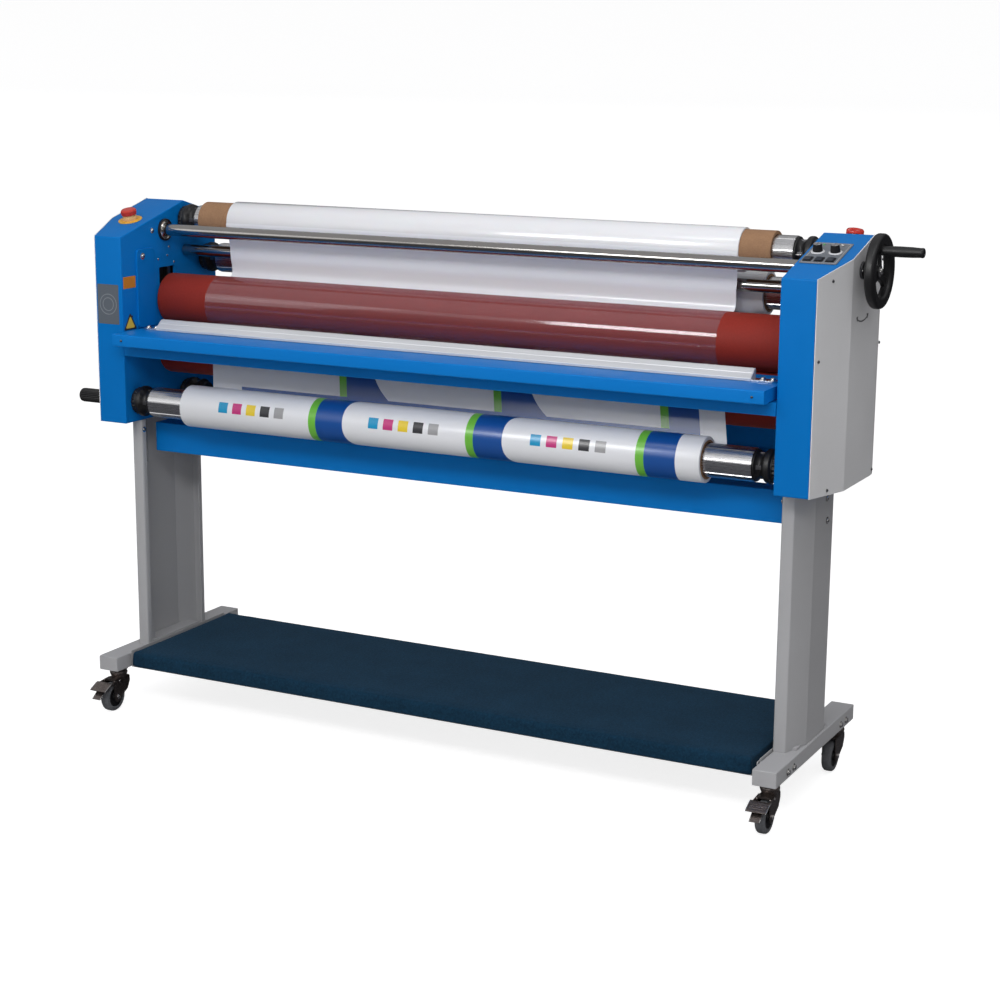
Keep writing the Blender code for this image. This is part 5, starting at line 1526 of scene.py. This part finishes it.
def inflate(item, low, high):
    """Twenty frames of cloth under pressure, held along the bottom edges."""
    held = item.vertex_groups.new(name="held")
    for vertex in item.data.vertices:
        x, y, z = vertex.co
        under = z < low.z + 0.004
        if under:
            held.add([vertex.index], 1.0, "REPLACE")
    cloth = item.modifiers.new("cloth", "CLOTH")
    cloth.settings.quality = 5
    cloth.settings.mass = 0.3
    cloth.settings.tension_stiffness = 12
    cloth.settings.compression_stiffness = 12
    cloth.settings.bending_stiffness = 0.4
    cloth.settings.shrink_min = -0.012
    cloth.settings.use_pressure = True
    cloth.settings.uniform_pressure_force = 4
    cloth.settings.effector_weights.gravity = 0
    cloth.settings.vertex_group_mass = "held"
    cloth.point_cache.frame_start = 1
    cloth.point_cache.frame_end = 20
    scene = bpy.context.scene
    for step in range(1, 21):
        scene.frame_set(step)
    apply_modifiers(item)
    scene.frame_set(1)


def settle(point, home, low, high):
    """Keep a simulated point near home, inside the pad's own box."""
    move = point - home
    reach = 0.0022
    if move.length > reach:
        move *= reach / move.length
    placed = home + move
    slack = 0.0015
    for axis in range(3):
        placed[axis] = min(max(placed[axis], low[axis] - slack), high[axis] + slack)
    placed.z = max(placed.z, low.z)
    return placed


def shelf_ends():
    """The small grey tabs that hold the shelf to the feet."""
    draft = Draft()
    for side in SIDES:
        for y in (-0.196, 0.168):
            tab = rounded_box((y - 0.012, 0.112), (y + 0.012, 0.140), 0.003)
            draft.prism(tab, side * 0.8385, side * 0.8415, PALE_GREY)
            draft.screw((side * 0.8385, y, 0.127), (-side, 0, 0), 0.0040, washer=True)
    draft.done("shelf_tabs", "frame", bevel=0.0005)
# ---------------------------------------------------------------- studio and camera
def studio():
    """A plain pale floor curved up into a backdrop, and a world that is white to the camera."""
    reach, curve, rise = 60.0, 8.0, 30.0
    profile = [(-reach, 0.0), (reach - curve, 0.0)]
    profile += [(reach - curve + curve * math.sin(math.radians(a)),
                 curve - curve * math.cos(math.radians(a))) for a in range(10, 91, 10)]
    profile.append((reach, rise))
    shape = bmesh.new()
    rows = [[shape.verts.new((x, y, z)) for x in (-reach, reach)] for y, z in profile]
    for first, second in zip(rows, rows[1:]):
        shape.faces.new([first[0], first[1], second[1], second[0]])
    mesh = bpy.data.meshes.new("floor")
    shape.to_mesh(mesh)
    shape.free()
    floor = bpy.data.objects.new("floor", mesh)
    bpy.context.scene.collection.objects.link(floor)
    for polygon in mesh.polygons:
        polygon.use_smooth = True
    mesh.materials.append(studio_floor())
    world = bpy.data.worlds.new("studio")
    bpy.context.scene.world = world
    world.use_nodes = True
    tree = world.node_tree
    background = tree.nodes["Background"]
    path = tree.nodes.new("ShaderNodeLightPath")
    place = tree.nodes.new("ShaderNodeTexCoord")
    split = tree.nodes.new("ShaderNodeSeparateXYZ")
    bands = tree.nodes.new("ShaderNodeValToRGB")
    height = tree.nodes.new("ShaderNodeMapRange")
    mix = tree.nodes.new("ShaderNodeMix")
    mix.data_type = "RGBA"
    tree.links.new(place.outputs["Generated"], split.inputs[0])
    tree.links.new(split.outputs[2], height.inputs[0])
    height.inputs[1].default_value, height.inputs[2].default_value = -1.0, 1.0
    tree.links.new(height.outputs[0], bands.inputs[0])
    stops = bands.color_ramp.elements
    stops[0].position, stops[0].color = 0.0, (0.25, 0.25, 0.26, 1)
    stops[1].position, stops[1].color = 1.0, (0.52, 0.52, 0.54, 1)
    for position, shade in ((0.49, 0.22), (0.52, 0.12), (0.60, 0.24), (0.72, 0.38), (0.86, 0.46)):
        stop = stops.new(position)
        stop.color = (shade, shade, shade * 1.01, 1)
    tree.links.new(bands.outputs[0], mix.inputs[6])
    tree.links.new(path.outputs["Is Camera Ray"], mix.inputs[0])
    mix.inputs[7].default_value = (1.0, 1.0, 1.0, 1)
    tree.links.new(mix.outputs[2], background.inputs["Color"])
    background.inputs["Strength"].default_value = 1.0


def studio_floor():
    """Paper white, almost lost in the background, with a trace of shadow."""
    s = Shader("studio_floor", (0.55, 0.55, 0.55), 0.9, Specular_IOR_Level=0.0)
    seen = s.node("LightPath").outputs["Is Camera Ray"]
    s.use(Emission_Color=(1.0, 1.0, 1.0), Emission_Strength=s.math("MULTIPLY", seen, 0.80))
    mirrored = s.node("LightPath").outputs["Is Glossy Ray"]
    paper = s.blend(mirrored, (0.55, 0.55, 0.55, 1), (0.10, 0.10, 0.11, 1))
    return s.use(Base_Color=s.tone(s.noise(3, 3), 0.004, paper)).material


def area_light(name, place, target, size, power, tint=(1, 1, 1)):
    data = bpy.data.lights.new(name, "AREA")
    data.shape = "RECTANGLE"
    data.size, data.size_y = size
    data.energy = power
    data.color = tint
    light = bpy.data.objects.new(name, data)
    bpy.context.scene.collection.objects.link(light)
    light.matrix_world = (facing(Vector(place) + HOME, Vector(place) - Vector(target)))
    return light


def camera():
    """The photograph's viewpoint, found from the machine's known edges."""
    azimuth, elevation, roll = (math.radians(a) for a in (27.20, 12.589, 0.438))
    place = Vector((2.2825, -4.2545, 1.6734))
    back = Vector((math.sin(azimuth) * math.cos(elevation),
                   -math.cos(azimuth) * math.cos(elevation), math.sin(elevation)))
    right = (-back).cross(Vector((0, 0, 1))).normalized()
    up = right.cross(-back)
    level, tilt = math.cos(roll), math.sin(roll)
    across = right * level + up * tilt
    upright = up * level - right * tilt
    data = bpy.data.cameras.new("camera")
    data.lens = 73.98
    data.sensor_width = 36
    data.clip_end = 300
    made = bpy.data.objects.new("camera", data)
    turn = Matrix((across, upright, back)).transposed().to_4x4()
    made.matrix_world = Matrix.Translation(place + HOME) @ turn
    bpy.context.scene.collection.objects.link(made)
    bpy.context.scene.camera = made


# ---------------------------------------------------------------- assembly
def build():
    for side in SIDES:
        cabinet_body(side)
        cabinet_bracket(side)
        outer_cover(side)
        wall_flange(side)
        column(side)
        foot(side)
    labels()
    emergency_stop(LEFT, 0.905, -0.086)
    emergency_stop(RIGHT, 0.905, 0.112, drop=0.008)
    control_panel()
    cover_fittings()
    main_roller("top_roller", TOP_ROLLER)
    main_roller("bottom_roller", BOTTOM_ROLLER)
    cross_bars()
    handwheel()
    rolls()
    film_webs()
    media_web()
    feed_table()
    guide_bar()
    casters()
    shelf_cover()
    shelf_ends()
    refine_cad("lower_beam", BLUE, 0.0025)
    refine_cad("table_rail", BLUE, 0.0015)
    refine_cad("rear_panel", BLUE, 0.0008)
    refine_cad("shelf_tray", PALE_GREY, 0.0008)
    refine_cad("drive_motor", DARK_STEEL, 0.0010)
    for side in SIDES:
        refine_cad(side_name(side) + "_lift_block", DARK_STEEL, 0.0006)


build()
studio()
key = area_light("key", (1.3, -4.0, 3.5), (1.3, 0, 1.06), (5.6, 0.95), 106)
key.visible_glossy = False
area_light("top", (1.6, -1.6, 4.6), (0, 0, 0.8), (4.2, 0.9), 40)
area_light("front", (1.2, -5.2, 1.9), (0, 0, 0.7), (3.0, 1.2), 20)
area_light("fill", (-3.4, -3.0, 2.2), (0, 0, 0.7), (2.2, 2.2), 11)
for name, x, width, power in (("glint", -0.65, 2.3, 78), ("far_glint", -3.1, 2.4, 3)):
    glint = area_light(name, (x, -3.98, 2.74), (x, 0, 1.06), (width, 1.00), power)
    glint.visible_diffuse = False
camera()
bpy.context.scene.view_settings.view_transform = "Standard"

bpy.context.view_layer.update()
